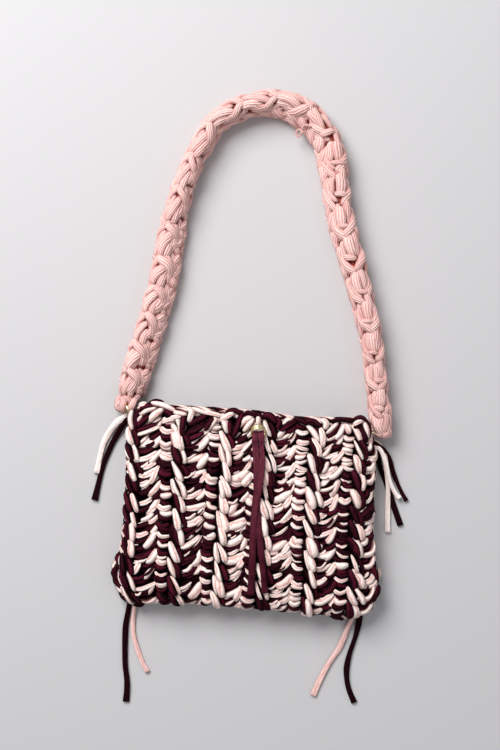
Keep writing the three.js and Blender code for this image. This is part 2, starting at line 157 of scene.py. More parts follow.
# Puts points, four-sided and three-sided faces into a mesh object at the origin.
def meshObject(name, points, quads, tris, material, uv=None, tone=None):
    mesh = bpy.data.meshes.new(name)
    points = np.array(points)
    points[:, 2] = np.maximum(points[:, 2], 0.0)  # nothing reaches below the table
    mesh.vertices.add(len(points))
    mesh.vertices.foreach_set("co", points.astype(np.float32).ravel())
    corners = np.concatenate([quads.ravel(), tris.ravel()]).astype(np.int32)
    totals = np.concatenate([np.full(len(quads), 4), np.full(len(tris), 3)]).astype(np.int32)
    mesh.loops.add(len(corners))
    mesh.loops.foreach_set("vertex_index", corners)
    mesh.polygons.add(len(totals))
    mesh.polygons.foreach_set("loop_start", (np.cumsum(totals) - totals).astype(np.int32))
    mesh.polygons.foreach_set("loop_total", totals)
    mesh.update(calc_edges=True)
    mesh.polygons.foreach_set("use_smooth", np.ones(len(totals), bool))
    if uv is not None:
        mesh.uv_layers.new(name="yarn").data.foreach_set("uv", uv.astype(np.float32).ravel())
    if tone is not None:
        mesh.attributes.new("tone", "FLOAT", "POINT").data.foreach_set("value", tone.astype(np.float32))
    mesh.validate()
    mesh.materials.append(material)
    piece = bpy.data.objects.new(name, mesh)
    bpy.context.scene.collection.objects.link(piece)
    return piece


# Joins a piece to the frame's root body and hides the nodes it stands for; its slot is not used.
def settle(piece, slot, *nodes):
    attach(piece, "root")
    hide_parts(*nodes)
    return piece


# Knitted yarn, with its patterns counted to the centimetre: bends of its folds every 6 mm, patches of tone
# every 11 mm, and knit loops of 0.9 mm, as coarse as they have to be to show. Then come their shares in the
# folds, the tone and the bump, and the gloss.
knit = {
    "bend": 1.6, "patch": 0.9, "loop": 11,
    "bendTurn": 5.0, "patchShare": 0.6, "strandShare": 0.55, "leastShade": -0.1,
    "loopHeight": 0.5, "bump": 0.65, "bumpHeight": 0.5,
    "ior": 1.5, "specular": 0.06, "sheenRoughness": 0.45,
}


# Fold = sine of (folds * turn round the yarn + twist * length along it + bend): up to lineReach the line's
# colour, painted shade in the folds, shows by lineDepth at most. Crest = sine of the turn, 1 on top of the
# yarn: as it falls from rimReach by rimWidth, the rim's colour, painted shade on the flanks where the yarn
# turns under, grows to rimDepth. The light mixes into the shade by patch and strand.
def yarnMaterial(name, light, shade, line, rim, lineDepth, rimDepth, rimReach, folds=2, twist=0.3,
                 lineReach=-0.2, rimWidth=0.85, roughness=0.85, sheen=0.0, sheenTint="#ffffff"):
    material = bpy.data.materials.new(name)
    material.use_nodes = True
    tree = material.node_tree
    shader = tree.nodes["Principled BSDF"]
    coord = addNode(tree, "ShaderNodeTexCoord")
    place = addNode(tree, "ShaderNodeSeparateXYZ", None, {0: coord.outputs["UV"]})
    bend, patch, loop = (
        addNode(tree, "ShaderNodeTexNoise", None,
                {"Vector": coord.outputs["Object"], "Scale": 100.0 * knit[pattern], "Detail": detail})
        for pattern, detail in (("bend", 2.0), ("patch", 3.0), ("loop", 1.0)))
    turned = addNode(tree, "ShaderNodeMath", {"operation": "MULTIPLY"}, {0: place.outputs["Y"], 1: twist})
    around = addNode(tree, "ShaderNodeMath", {"operation": "MULTIPLY_ADD"},
                     {0: place.outputs["X"], 1: 2 * np.pi * folds, 2: turned.outputs[0]})
    phase = addNode(tree, "ShaderNodeMath", {"operation": "MULTIPLY_ADD"},
                    {0: bend.outputs[0], 1: knit["bendTurn"], 2: around.outputs[0]})
    fold = addNode(tree, "ShaderNodeMath", {"operation": "SINE"}, {0: phase.outputs[0]})
    # painted shade: the line's colour darkens the folds
    furrow = addNode(tree, "ShaderNodeMapRange", {"interpolation_type": "SMOOTHSTEP"},
                     {"Value": fold.outputs[0], "From Min": -1.0, "From Max": lineReach,
                      "To Min": lineDepth, "To Max": 0.0})
    strand = addNode(tree, "ShaderNodeAttribute", {"attribute_name": "tone"})
    start = addNode(tree, "ShaderNodeMath", {"operation": "MULTIPLY_ADD"},
                    {0: strand.outputs["Fac"], 1: knit["strandShare"], 2: knit["leastShade"]})
    weight = addNode(tree, "ShaderNodeMath", {"operation": "MULTIPLY_ADD", "use_clamp": True},
                     {0: patch.outputs[0], 1: knit["patchShare"], 2: start.outputs[0]})
    cloth = addNode(tree, "ShaderNodeMix", {"data_type": "RGBA"},
                    {0: weight.outputs[0], 6: toLinear(light), 7: toLinear(shade)})
    folded = addNode(tree, "ShaderNodeMix", {"data_type": "RGBA"},
                     {0: furrow.outputs[0], 6: cloth.outputs[2], 7: toLinear(line)})
    angle = addNode(tree, "ShaderNodeMath", {"operation": "MULTIPLY"}, {0: place.outputs["X"], 1: 2 * np.pi})
    crest = addNode(tree, "ShaderNodeMath", {"operation": "SINE"}, {0: angle.outputs[0]})
    # painted shade: the rim's colour darkens the flanks, where the yarn turns under
    under = addNode(tree, "ShaderNodeMapRange", {"interpolation_type": "SMOOTHSTEP"},
                    {"Value": crest.outputs[0], "From Min": rimReach - rimWidth, "From Max": rimReach,
                     "To Min": rimDepth, "To Max": 0.0})
    rolled = addNode(tree, "ShaderNodeMix", {"data_type": "RGBA"},
                     {0: under.outputs[0], 6: folded.outputs[2], 7: toLinear(rim)})
    height = addNode(tree, "ShaderNodeMath", {"operation": "MULTIPLY_ADD"},
                     {0: loop.outputs[0], 1: knit["loopHeight"], 2: fold.outputs[0]})
    bump = addNode(tree, "ShaderNodeBump", None, {"Strength": knit["bump"], "Height": height.outputs[0],
                                                  "Distance": knit["bumpHeight"] * mm})
    tree.links.new(rolled.outputs[2], shader.inputs["Base Color"])
    tree.links.new(bump.outputs[0], shader.inputs["Normal"])
    gloss = {"Roughness": roughness, "IOR": knit["ior"], "Specular IOR Level": knit["specular"],
             "Sheen Weight": sheen, "Sheen Roughness": knit["sheenRoughness"],
             "Sheen Tint": toLinear(sheenTint)}
    for key, value in gloss.items():
        shader.inputs[key].default_value = value
    return material


# Cotton jersey yarn, a cut strip of knit fabric that rolls in on itself: matt, with soft folds along it.
# Painted shade darkens the folds and the flanks where it turns under; on the maroon it reaches over the
# crest.
blushJersey = yarnMaterial(
    "blush_cotton_jersey", light="#fff4ed", shade="#fad7cf", line="#c98178", rim="#652c29",
    folds=3, twist=0.5, lineDepth=0.65, lineReach=-0.4, rimDepth=0.88, rimReach=0.74, rimWidth=0.6,
    sheen=0.15, sheenTint="#fff2ee")
maroonJersey = yarnMaterial(
    "maroon_cotton_jersey", light="#601a2d", shade="#22050d", line="#0b0103", rim="#0b0103",
    folds=3, twist=0.5, lineDepth=0.85, rimDepth=1.0, rimReach=1.24)
# The same yarn where it hangs loose: two slack folds and softer painted shade. The upper blush ends are
# painted paler, as painted light; the loose maroon is painted darker than the pouch's, as painted shade; and
# the tie is redder with a faint bloom, its light and shade painted down its length.
looseBlush = yarnMaterial(
    "blush_cotton_jersey_loose", light="#fbe0d9", shade="#efc2bb", line="#c98d86", rim="#c48079",
    lineDepth=0.45, rimDepth=0.8, rimReach=0.85, sheen=0.12, sheenTint="#fff2ee")
# painted light: the upper blush ends are paler than the lower ones
paleLoose = yarnMaterial(
    "blush_cotton_jersey_pale", light="#fffaf5", shade="#fff0e9", line="#e9c3ba", rim="#e0b2a9",
    lineDepth=0.45, rimDepth=0.8, rimReach=0.85, sheen=0.12, sheenTint="#fff2ee")
# painted shade: the loose maroon is darker than the maroon in the pouch
looseMaroon = yarnMaterial(
    "maroon_cotton_jersey_loose", light="#26040b", shade="#190206", line="#0a0103", rim="#0a0103",
    lineDepth=0.3, rimDepth=0.9, rimReach=0.8)
# painted light and shade: the tie's two colours are mixed by its height, lighter at its top
tieMaroon = yarnMaterial(
    "maroon_cotton_jersey_tie", light="#763444", shade="#340612", line="#230a13", rim="#1c060e",
    lineDepth=0.3, rimDepth=0.9, rimReach=0.8, roughness=0.8, sheen=0.06, sheenTint="#c07a86")
# Soft cotton of several plies laid side by side: fine lengthwise lines of reddish painted shade between the
# plies, and a little painted shade on the flanks.
salmonCotton = yarnMaterial(
    "salmon_plied_cotton", light="#fedad3", shade="#f4c2bb", line="#c97a73", rim="#c7736d",
    folds=10, twist=0.9, lineDepth=0.8, lineReach=-0.35, rimDepth=0.42, rimReach=0.85,
    sheen=0.15, sheenTint="#ffe9e4")
# Yarn deep in the crochet, out of the light, painted with its shade: nearly black in the pouch, deep rose in
# the strap.
deepJersey = yarnMaterial(
    "shaded_jersey", light="#220409", shade="#160205", line="#0a0102", rim="#0a0102",
    folds=4, twist=0.5, lineDepth=0.5, rimDepth=0.8, rimReach=0.9, roughness=0.95)
deepCotton = yarnMaterial(
    "shaded_plied_cotton", light="#b4584d", shade="#9f493f", line="#7a352c", rim="#7a352c",
    folds=9, twist=0.9, lineDepth=0.5, rimDepth=0.0, rimReach=0.9, roughness=0.95)

# Pale gold plating on polished wire: warm and smooth, with faint handling marks, 7 to the centimetre.
gold = {"light": "#f7e7be", "worn": "#ead69f", "smooth": 0.28, "rough": 0.42, "mark": 7}


# Colour and roughness = their two values, mixed by the marks.
def goldMaterial():
    material = bpy.data.materials.new("pale_gold_plating")
    material.use_nodes = True
    tree = material.node_tree
    shader = tree.nodes["Principled BSDF"]
    coord = addNode(tree, "ShaderNodeTexCoord")
    marks = addNode(tree, "ShaderNodeTexNoise", None,
                    {"Vector": coord.outputs["Object"], "Scale": 100.0 * gold["mark"], "Detail": 3.0})
    gloss = addNode(tree, "ShaderNodeMapRange", None,
                    {"Value": marks.outputs[0], "To Min": gold["smooth"], "To Max": gold["rough"]})
    tone = addNode(tree, "ShaderNodeMix", {"data_type": "RGBA"},
                   {0: marks.outputs[0], 6: toLinear(gold["light"]), 7: toLinear(gold["worn"])})
    tree.links.new(gloss.outputs[0], shader.inputs["Roughness"])
    tree.links.new(tone.outputs[2], shader.inputs["Base Color"])
    shader.inputs["Metallic"].default_value = 1.0
    return material


paleGold = goldMaterial()
print("yarns and gold mixed")

# Camera, table and light. The camera looks straight down; its place is in millimetres.

view = {"x": 2, "y": 133, "height": 1400, "focalPixels": 1375, "framePixels": 750, "sensor": 36.0}
camera = bpy.data.objects.new("camera", bpy.data.cameras.new("camera"))
camera.location = (view["x"] * mm, view["y"] * mm, view["height"] * mm)
camera.data.sensor_width = view["sensor"]
camera.data.lens = view["sensor"] * view["focalPixels"] / view["framePixels"]
bpy.context.scene.collection.objects.link(camera)
bpy.context.scene.camera = camera
bpy.context.scene.view_settings.view_transform = "Standard"

table = {"size": 6.0, "colour": "#c6c4c5", "roughness": 0.8}


# A pale matt board, one square face: a plain table that takes soft shadows.
def makeTable():
    half = table["size"] / 2
    mesh = bpy.data.meshes.new("table")
    corners = [(-half, -half, 0), (half, -half, 0), (half, half, 0), (-half, half, 0)]
    mesh.from_pydata(corners, [], [(0, 1, 2, 3)])
    material = bpy.data.materials.new("pale_matt_board")
    material.use_nodes = True
    shader = material.node_tree.nodes["Principled BSDF"]
    shader.inputs["Base Color"].default_value = toLinear(table["colour"])
    shader.inputs["Roughness"].default_value = table["roughness"]
    mesh.materials.append(material)
    board = bpy.data.objects.new("table", mesh)
    bpy.context.scene.collection.objects.link(board)


makeTable()

lightRows = [  # name, place, aim, size, watts
    ("window", (-0.8, 1.3, 1.5), (0, 0.1, 0), 1.2, 54.0),
    ("bounce", (1.1, -0.7, 1.3), (0, 0.1, 0), 1.4, 3.0),
]
for name, spot, aim, size, watts in lightRows:
    lamp = bpy.data.lights.new(name, "AREA")
    lamp.size = size
    lamp.energy = watts
    lampObject = bpy.data.objects.new(name, lamp)
    lampObject.location = spot
    direction = unit(np.array(aim) - np.array(spot))
    heading = np.arctan2(direction[1], direction[0]) - np.pi / 2
    lampObject.rotation_euler = (np.arccos(-direction[2]), 0, heading)
    bpy.context.scene.collection.objects.link(lampObject)

sky = {"Color": toLinear("#f4f6fa"), "Strength": 0.36}
world = bpy.data.worlds.new("studio")
bpy.context.scene.world = world
world.use_nodes = True
for key, value in sky.items():
    world.node_tree.nodes["Background"].inputs[key].default_value = value
print("camera, table and light set")

# Strands of the crochet: steps along each, its height and end width as shares of its half width, the least
# half height and what the swell adds to it, and the powers of the swell in the width and in the sink.
stitchYarn = {"steps": 9, "flat": 0.52, "end": 0.38, "least": 0.3, "added": 0.25,
              "widthPower": 0.5, "sinkPower": 0.6}
threePlaces = wayMatrix(3, stitchYarn["steps"])  # each strand of a stitch runs through three places


# Strands swell between the places where they dive under others. Bulge = sin(pi * share ^ k), where k sets
# the fattest place, half width = half * (end + (1 - end) * bulge ^ widthPower), and the strand sinks at its
# ends by 1 - bulge ^ sinkPower.
def strandShape(half, fat, flat=stitchYarn["flat"], end=stitchYarn["end"]):
    share = np.linspace(0, 1, stitchYarn["steps"])
    end = np.broadcast_to(end, half.shape)[:, None]
    bulge = np.sin(np.pi * share ** (np.log(0.5) / np.log(fat))[:, None]).clip(0, 1)
    wide = half[:, None] * (end + (1 - end) * bulge ** stitchYarn["widthPower"])
    high = flat * wide + stitchYarn["least"] + stitchYarn["added"] * bulge
    return wide, high, 1 - bulge ** stitchYarn["sinkPower"]


# Strands laid one by one, as rows of half width and three places of x, y and height: each falls at its ends.
def layByHand(rows, flat, sides, fall=1.5):
    rows = np.array(rows, float)
    way = threePlaces @ rows[:, 1:].reshape(-1, 3, 3)
    wide, high, sink = strandShape(rows[:, 0], np.full(len(rows), 0.5), flat)
    way[..., 2] -= fall * sink
    return sweep(way, np.broadcast_to((0.0, 0.0, 1.0), way.shape), wide, high, yarnSection(sides)) * mm


# Pouch: one crocheted panel of two yarns, folded at the bottom and joined at the sides. All in millimetres.

pouch = {
    "halfWidth": 123, "halfLength": 97,  # nominal half sizes that lengths over the surface are counted with
    "rise": 19, "drop": 15, "seamHeight": 15,  # front over the seam, back under it, seam over the table
    "frontCrown": 4, "backCrown": 6, "mouthCrown": 14, "backFlat": 1.08,  # powers; the back lies flat
    "cornerDraw": 0.06, "cornerSharpness": 8,  # the corners are drawn in by this share
    "lipCrest": 0.85,  # lengths down the bag start here, as a share of the rise
    "backLip": 2, "backLipReach": 0.24, "backInset": 4.2,  # its lip stands out; room for its yarn
    "cover": 3.2, "coverRight": 1.0,  # the yarn lies this much inside the outline
    "left": [-124, -124, -125, -130, -134], "right": [127.5, 127, 125, 127.5, 131],  # mouth to fold
    "mouth": [106, 101, 97, 90, 92], "fold": [-98, -97, -101, -107, -113],  # left to right
    "ladderTop": [0.163, 0.356, 0.532, 0.712, 0.904],  # ladder middles across the bag, at the mouth
    "ladderFold": [0.166, 0.338, 0.503, 0.690, 0.862],  # and at the fold
    "repeat": 46.0, "stitch": 16.4, "firstStitch": 3.5, "rightReach": 39,  # lengths of the pattern
    "ridge": 1.6, "ridgeAt": 9, "dive": 3.2,  # the ladder and chain stand up, and strands dive at their ends
    "lipDrop": 1.8, "underLip": 8,  # stitches that start this near the lip lie lower
    "blushWidth": 1.06, "maroonWidth": 0.95, "sides": 7,
}
lastRepeat = len(pouch["ladderTop"]) - 1


# Lengths over the surface across the bag: over the front to the seam, then back under.
def acrossTable():
    turn = np.linspace(0, np.pi, 3 * fineSteps + 1)
    front = turn <= np.pi / 2
    power = np.where(front, pouch["frontCrown"], pouch["backCrown"])
    p = np.abs(np.sin(turn)) ** (2 / power)
    full = np.sign(np.pi / 2 - turn) * np.abs(np.cos(turn)) ** (2 / power)
    z = np.where(front, pouch["rise"] * full, pouch["drop"] * np.maximum(pouch["backFlat"] * full, -1))
    length = np.hypot(np.diff(p) * pouch["halfWidth"], np.diff(z))
    return np.concatenate([[0], np.cumsum(length)]), p, full


# Lengths over the surface from the mouth down the front, round the fold and up the back.
def alongTable():
    quarter = np.linspace(0, np.pi / 2, fineSteps + 1)
    parts = [(-1, 1, pouch["mouthCrown"], quarter[::-1]), (1, 1, pouch["frontCrown"], quarter),
             (1, -1, pouch["backCrown"], quarter[::-1]), (-1, -1, pouch["mouthCrown"], quarter)]
    q = np.concatenate([way * np.sin(t) ** (2 / power) for way, face, power, t in parts])
    full = np.concatenate([face * np.abs(np.cos(t)) ** (2 / power) for way, face, power, t in parts])
    z = np.where(full > 0, pouch["rise"] * full, pouch["drop"] * np.maximum(pouch["backFlat"] * full, -1))
    length = np.concatenate([[0], np.cumsum(np.hypot(np.diff(q) * pouch["halfLength"], np.diff(z)))])
    lip = np.interp(pouch["lipCrest"], full[:quarter.size], length[:quarter.size])
    return length - lip, q, full


acrossLength, acrossP, acrossFull = acrossTable()
alongLength, alongQ, alongFull = alongTable()
panelHalf = acrossLength[np.argmax(acrossP)]  # from the middle to a side seam
panelLong = alongLength[-1] + alongLength[0]  # from lip to lip


# Place from side to side (-1 to 1) and fullness, at a length across.
def acrossAt(s):
    away = np.abs(s)
    return np.sign(s) * np.interp(away, acrossLength, acrossP), np.interp(away, acrossLength, acrossFull)


# Place from mouth to fold (-1 to 1) and fullness, at a length down.
def alongAt(d):
    return np.interp(d, alongLength, alongQ), np.interp(d, alongLength, alongFull)


# The outline's four edges at shares across and down: left, right, mouth and fold.
def pouchEdges(across, down):
    left = readRows(pouch["left"], down) + pouch["cover"]
    right = readRows(pouch["right"], down) - pouch["coverRight"]
    mouth = readRows(pouch["mouth"], across) - pouch["cover"]
    fold = readRows(pouch["fold"], across) + pouch["cover"]
    return left, right, mouth, fold


# A point of the pouch's surface under the yarn: the outline blended between its four edges, with the corners
# drawn in, at a height that swells as the product of the two crowns.
def pouchPlace(s, d):
    p, fullP = acrossAt(s)
    q, fullQ = alongAt(d)
    drawnP = p * (1 - pouch["cornerDraw"] * np.abs(q) ** pouch["cornerSharpness"])
    drawnQ = q * (1 - pouch["cornerDraw"] * np.abs(p) ** pouch["cornerSharpness"])
    left, right, mouth, fold = pouchEdges((p + 1) / 2, (q + 1) / 2)
    x = left + (right - left) * (1 + drawnP) / 2
    y = mouth + (fold - mouth) * (1 + drawnQ) / 2
    full = np.abs(fullP) * np.abs(fullQ)
    behind = (fullP < 0) | (fullQ < 0)
    lip = pouch["backLip"] * np.clip(1 - (q + 1) / pouch["backLipReach"], 0, 1) * swell(p, pouch["backCrown"])
    depth = pouch["drop"] - pouch["backInset"]
    under = pouch["seamHeight"] - depth * np.minimum(pouch["backFlat"] * full, 1)
    z = np.where(behind, under, pouch["seamHeight"] + pouch["rise"] * full)
    return np.stack([x, y + np.where(behind, lip, 0), z], axis=-1)


# The surface's outward direction, from the points one millimetre away.
def pouchNormal(s, d):
    across = pouchPlace(s + 1, d) - pouchPlace(s - 1, d)
    upward = pouchPlace(s, d - 1) - pouchPlace(s, d + 1)
    return unit(np.cross(across, upward))


# Middle of a repeat's ladder, as a length across the bag. The repeats lean a little from mouth to fold.
def ladderMiddle(repeat, d):
    q, full = alongAt(d)
    down = np.where(full >= 0, (q + 1) / 2, 1)
    known = np.clip(repeat, 0, lastRepeat)
    top, fold = np.array(pouch["ladderTop"])[known], np.array(pouch["ladderFold"])[known]
    p = 2 * (top + (fold - top) * down) - 1
    front = acrossFull >= 0
    length = np.interp(np.abs(p), acrossP[front], acrossLength[front])
    return np.sign(p) * length + (repeat - known) * pouch["repeat"]


# Strands over the pouch, through three places given as lengths across and down.
# Point = surface + (lift - dive * sink) * outward direction.
def layOnPouch(places, half, lift, fat, end=stitchYarn["end"]):
    way = threePlaces @ places
    s, d = way[..., 0], way[..., 1]
    wide, high, sink = strandShape(half, fat, end=end)
    normal = pouchNormal(s, d)
    points = pouchPlace(s, d) + (lift[:, None] - pouch["dive"] * sink)[..., None] * normal
    return sweep(points, normal, wide, high, yarnSection(pouch["sides"])) * mm


# A bar of a ladder: it starts high on the left, sags by the middle and ends a little higher on the right.
def bar(yarn, down, half, lift=1.7, sag=1.0):
    return (yarn, -6.5, down - 3.4 * sag, -2.0, down + 0.6 * sag, 5.4, down - 0.5 * sag, half, lift, 0.46)


# Kinds of stitch, each with its share, from the palest to the darkest. A strand is its yarn (blush, maroon
# or deep), three places across from the ladder's middle and down from the stitch's top, half width, lift
# over the panel and where it is fattest.
ladderKinds = [
    (0.13, [bar("b", 2.4, 2.5, 2.2, 0.4), bar("b", 7.4, 2.3, 2.0, 0.4), bar("b", 12.2, 2.5, 2.2, 0.5),
            bar("m", 15.8, 2.4, 1.4)]),
    (0.28, [bar("b", 2.6, 3.0, 2.3), bar("m", 8.4, 3.5, 1.8), bar("b", 13.8, 2.7, 2.2)]),
    (0.32, [bar("m", 2.4, 3.5, 1.9), bar("b", 8.0, 2.8, 2.3), bar("m", 13.4, 3.5, 1.9)]),
    (0.27, [bar("m", 2.6, 3.6, 2.0), bar("b", 7.4, 1.9, 1.9), bar("m", 11.8, 3.3, 1.9),
            bar("b", 15.6, 2.1, 2.1)]),
]
chainKinds = [
    (0.14, [("b", 6.8, -2.0, 9.4, 7.6, 13.2, 17.4, 2.8, 2.2, 0.55),
            ("b", 10.2, -3.0, 15.2, 7.4, 17.4, 18.0, 3.4, 2.8, 0.6)]),
    (0.06, [("b", 9.8, -3.0, 13.6, 7.0, 16.4, 17.6, 4.4, 2.9, 0.62),
            ("m", 15.3, -2.0, 18.8, 6.4, 19.3, 15.0, 2.8, 1.2, 0.5)]),
    (0.18, [("b", 6.2, -2.4, 11.0, 8.4, 15.0, 19.0, 3.5, 2.8, 0.6),
            ("m", 14.4, 1.0, 19.0, 9.0, 21.4, 16.5, 3.6, 2.2, 0.5)]),
    (0.38, [("m", 6.0, -3.0, 9.8, 6.4, 13.8, 17.6, 3.9, 2.8, 0.55),
            ("b", 10.6, -2.6, 15.6, 7.0, 17.6, 17.6, 3.1, 2.4, 0.6)]),
    (0.24, [("b", 6.4, -2.4, 9.8, 6.6, 13.6, 17.0, 3.0, 2.4, 0.55),
            ("m", 10.8, -2.4, 15.8, 7.0, 17.6, 17.6, 4.0, 2.8, 0.6)]),
]
fanKinds = [
    (0.18, [("b", 17.6, 15.0, 21.6, 10.2, 26.6, 4.0, 2.9, 2.1, 0.5),
            ("b", 17.0, 17.2, 26.5, 13.6, 36.0, 9.6, 2.5, 2.2, 0.5),
            ("b", 28.4, 21.8, 33.4, 14.2, 40.4, 6.0, 3.1, 2.7, 0.5),
            ("m", 27.6, 8.8, 34.0, 4.6, 41.4, -0.4, 3.1, 1.5, 0.5),
            ("m", 17.6, 21.4, 25.0, 18.6, 31.6, 15.6, 2.5, 1.3, 0.5)]),
    (0.32, [("b", 17.0, 16.6, 26.5, 12.2, 36.6, 7.6, 3.0, 2.2, 0.52),
            ("b", 28.8, 21.2, 34.0, 13.2, 40.0, 4.8, 3.2, 2.7, 0.5),
            ("m", 17.4, 21.4, 25.0, 18.4, 32.6, 15.0, 2.8, 1.4, 0.5),
            ("m", 33.4, 22.4, 37.6, 15.6, 41.8, 8.6, 2.5, 1.6, 0.5),
            ("m", 18.6, 9.4, 27.0, 5.6, 35.6, 1.6, 3.1, 1.5, 0.5)]),
    (0.22, [("b", 17.4, 15.4, 27.0, 10.6, 39.0, 5.2, 3.7, 2.4, 0.55),
            ("b", 32.0, 19.8, 35.6, 13.0, 39.8, 6.0, 2.9, 2.8, 0.5),
            ("m", 18.0, 19.8, 26.0, 17.0, 33.4, 13.8, 2.8, 1.4, 0.5),
            ("m", 19.4, 8.4, 27.0, 4.6, 34.6, 0.6, 2.9, 1.4, 0.5)]),
    (0.15, [("b", 26.8, 20.4, 33.4, 12.2, 40.4, 3.0, 3.3, 2.7, 0.5),
            ("m", 17.2, 16.4, 24.0, 13.2, 31.6, 9.4, 3.3, 1.7, 0.5),
            ("b", 17.6, 10.4, 24.0, 7.2, 31.0, 3.6, 2.8, 2.3, 0.5),
            ("m", 32.6, 21.6, 37.6, 14.6, 42.4, 7.6, 2.8, 1.7, 0.5),
            ("m", 23.6, 5.2, 32.0, 1.8, 40.4, -2.4, 2.9, 1.4, 0.5)]),
    (0.13, [("b", 21.0, 10.6, 27.2, 6.6, 33.0, 1.8, 3.0, 2.4, 0.5),
            ("b", 30.0, 11.4, 35.6, 7.4, 41.0, 2.6, 2.6, 2.4, 0.5),
            ("m", 17.4, 16.0, 27.0, 11.6, 38.2, 6.6, 3.5, 1.9, 0.5),
            ("m", 19.4, 20.6, 29.0, 16.2, 39.2, 11.2, 3.1, 1.6, 0.5),
            ("b", 31.6, 21.6, 36.6, 15.0, 41.6, 8.8, 2.6, 2.5, 0.5)]),
]
# The fill strands are deep yarn: painted near-black shade between the rest.
fillKinds = [  # yarn of the row behind, deep between the rest
    (1.0, [("d", 17.0, 16.5, 28.0, 11.6, 40.0, 4.6, 4.4, -2.0, 0.5),
           ("d", 18.0, 8.0, 29.0, 4.2, 40.0, -2.4, 4.4, -2.0, 0.5),
           ("d", 7.0, -2.0, 12.0, 7.0, 17.5, 16.4, 5.2, -1.8, 0.5)]),
]
sliverKinds = [  # edges of the other yarn that show between two strands
    (0.35, [("b", 18.0, 13.2, 24.0, 9.6, 30.4, 5.4, 1.4, 2.6, 0.5),
            ("m", 24.0, 18.6, 30.0, 14.6, 36.4, 10.2, 1.6, 3.4, 0.5)]),
    (0.35, [("b", 27.0, 18.8, 33.0, 13.4, 39.4, 7.2, 1.3, 3.0, 0.5),
            ("b", 17.4, 21.0, 22.6, 18.4, 28.0, 15.4, 1.4, 2.4, 0.5)]),
    (0.3, [("b", 19.4, 8.4, 25.6, 5.0, 31.4, 1.4, 1.5, 2.6, 0.5),
           ("m", 29.0, 19.0, 34.6, 12.0, 40.0, 4.6, 1.5, 3.6, 0.5)]),
]
rightKinds = [  # half a fan, whose loops hook up round the right seam
    (0.55, [("b", 14.0, 15.4, 29.5, 12.8, 35.5, 0.0, 3.5, 2.2, 0.55),
            ("m", 15.0, 10.6, 25.6, 8.6, 30.8, -2.4, 3.4, 1.7, 0.55),
            ("b", 18.0, 5.2, 22.4, 2.6, 25.0, -3.4, 2.8, 1.8, 0.5),
            ("m", 29.0, 18.4, 36.2, 11.4, 38.4, 1.6, 3.0, 0.8, 0.5)]),
    (0.45, [("m", 14.0, 15.4, 29.5, 12.8, 35.5, 0.0, 3.8, 1.9, 0.55),
            ("b", 15.0, 10.6, 25.6, 8.6, 30.8, -2.4, 3.1, 2.1, 0.55),
            ("m", 18.0, 5.2, 22.4, 2.6, 25.0, -3.4, 2.8, 1.4, 0.5),
            ("b", 29.0, 18.4, 36.2, 11.4, 38.4, 1.6, 2.8, 1.0, 0.5)]),
]


# How uneven the stitches are, in millimetres and shares: a stitch's top, a strand's place and its three
# points, its width, lift, fattest place and ends, and the share of strands where the yarns have changed
# places. A stitch's mood keeps these shares of the moods one and two stitches before.
uneven = {
    "top": 0.8, "place": 0.75, "points": 0.45, "width": 0.2, "widths": (0.55, 1.45), "lift": 0.75,
    "fat": 0.05, "fats": (0.3, 0.7), "ends": (0.14, 0.5), "swapped": 0.05, "oneBefore": 0.6, "twoBefore": 0.3,
}


# A column of stitches: each place picks one kind by its share, with a mood that runs on from stitch to
# stitch, since the two yarns turn slowly round each other. Every strand is bowed down in its middle, turned
# about its centre, moved and swelled a little. Lift = its own + ridge * cos(across), which swings once in
# each repeat, and is less under the lip.
def layColumn(kinds, middle, reach, top, spread, whole, bow, rng, yarns):
    noise = rng.normal(0, 1, middle.size + 3)
    mood = noise[3:] + uneven["oneBefore"] * noise[2:-1] + uneven["twoBefore"] * noise[1:-2]
    rank = (mood.argsort().argsort() + 0.5) / middle.size
    picked = np.searchsorted(np.cumsum([share for share, strands in kinds])[:-1], rank)
    lipDrop = pouch["lipDrop"] * (top < pouch["underLip"])
    for number, (share, strands) in enumerate(kinds):
        used = picked == number
        count = int(used.sum())
        for yarn, *numbers in strands:
            shape = np.array(numbers[:6]).reshape(3, 2)
            width, rise, fattest = numbers[6:]
            shape[1, 1] += bow
            centre = shape.mean(axis=0)
            away = shape - centre
            turn = rng.normal(0, spread, count)[:, None]
            places = np.stack([away[:, 0] * np.cos(turn) - away[:, 1] * np.sin(turn),
                               away[:, 0] * np.sin(turn) + away[:, 1] * np.cos(turn)], axis=-1)
            moved = rng.normal(0, uneven["place"], (count, 1, 2))
            places += centre + moved + rng.normal(0, uneven["points"], (count, 3, 2))
            places[..., 0] = middle[used, None] + places[..., 0] * reach[used, None]
            places[..., 1] += top[used, None]
            width *= pouch["blushWidth" if yarn == "b" else "maroonWidth"]
            half = width * rng.normal(1, uneven["width"], count).clip(*uneven["widths"])
            ridge = pouch["ridge"] * np.cos(2 * np.pi * (shape[1, 0] - pouch["ridgeAt"]) / pouch["repeat"])
            lift = rise + ridge + rng.normal(0, uneven["lift"], count) - lipDrop[used]
            fat = (fattest + rng.normal(0, uneven["fat"], count)).clip(*uneven["fats"])
            points = layOnPouch(places, half, lift, fat, rng.uniform(*uneven["ends"], count))
            fate = rng.uniform(0, 1, count)
            swapped = (fate < uneven["swapped"]) & (yarn != "d")
            yarns[yarn].append(points[~swapped & (fate < whole)])
            yarns["m" if yarn == "b" else "b"].append(points[swapped])


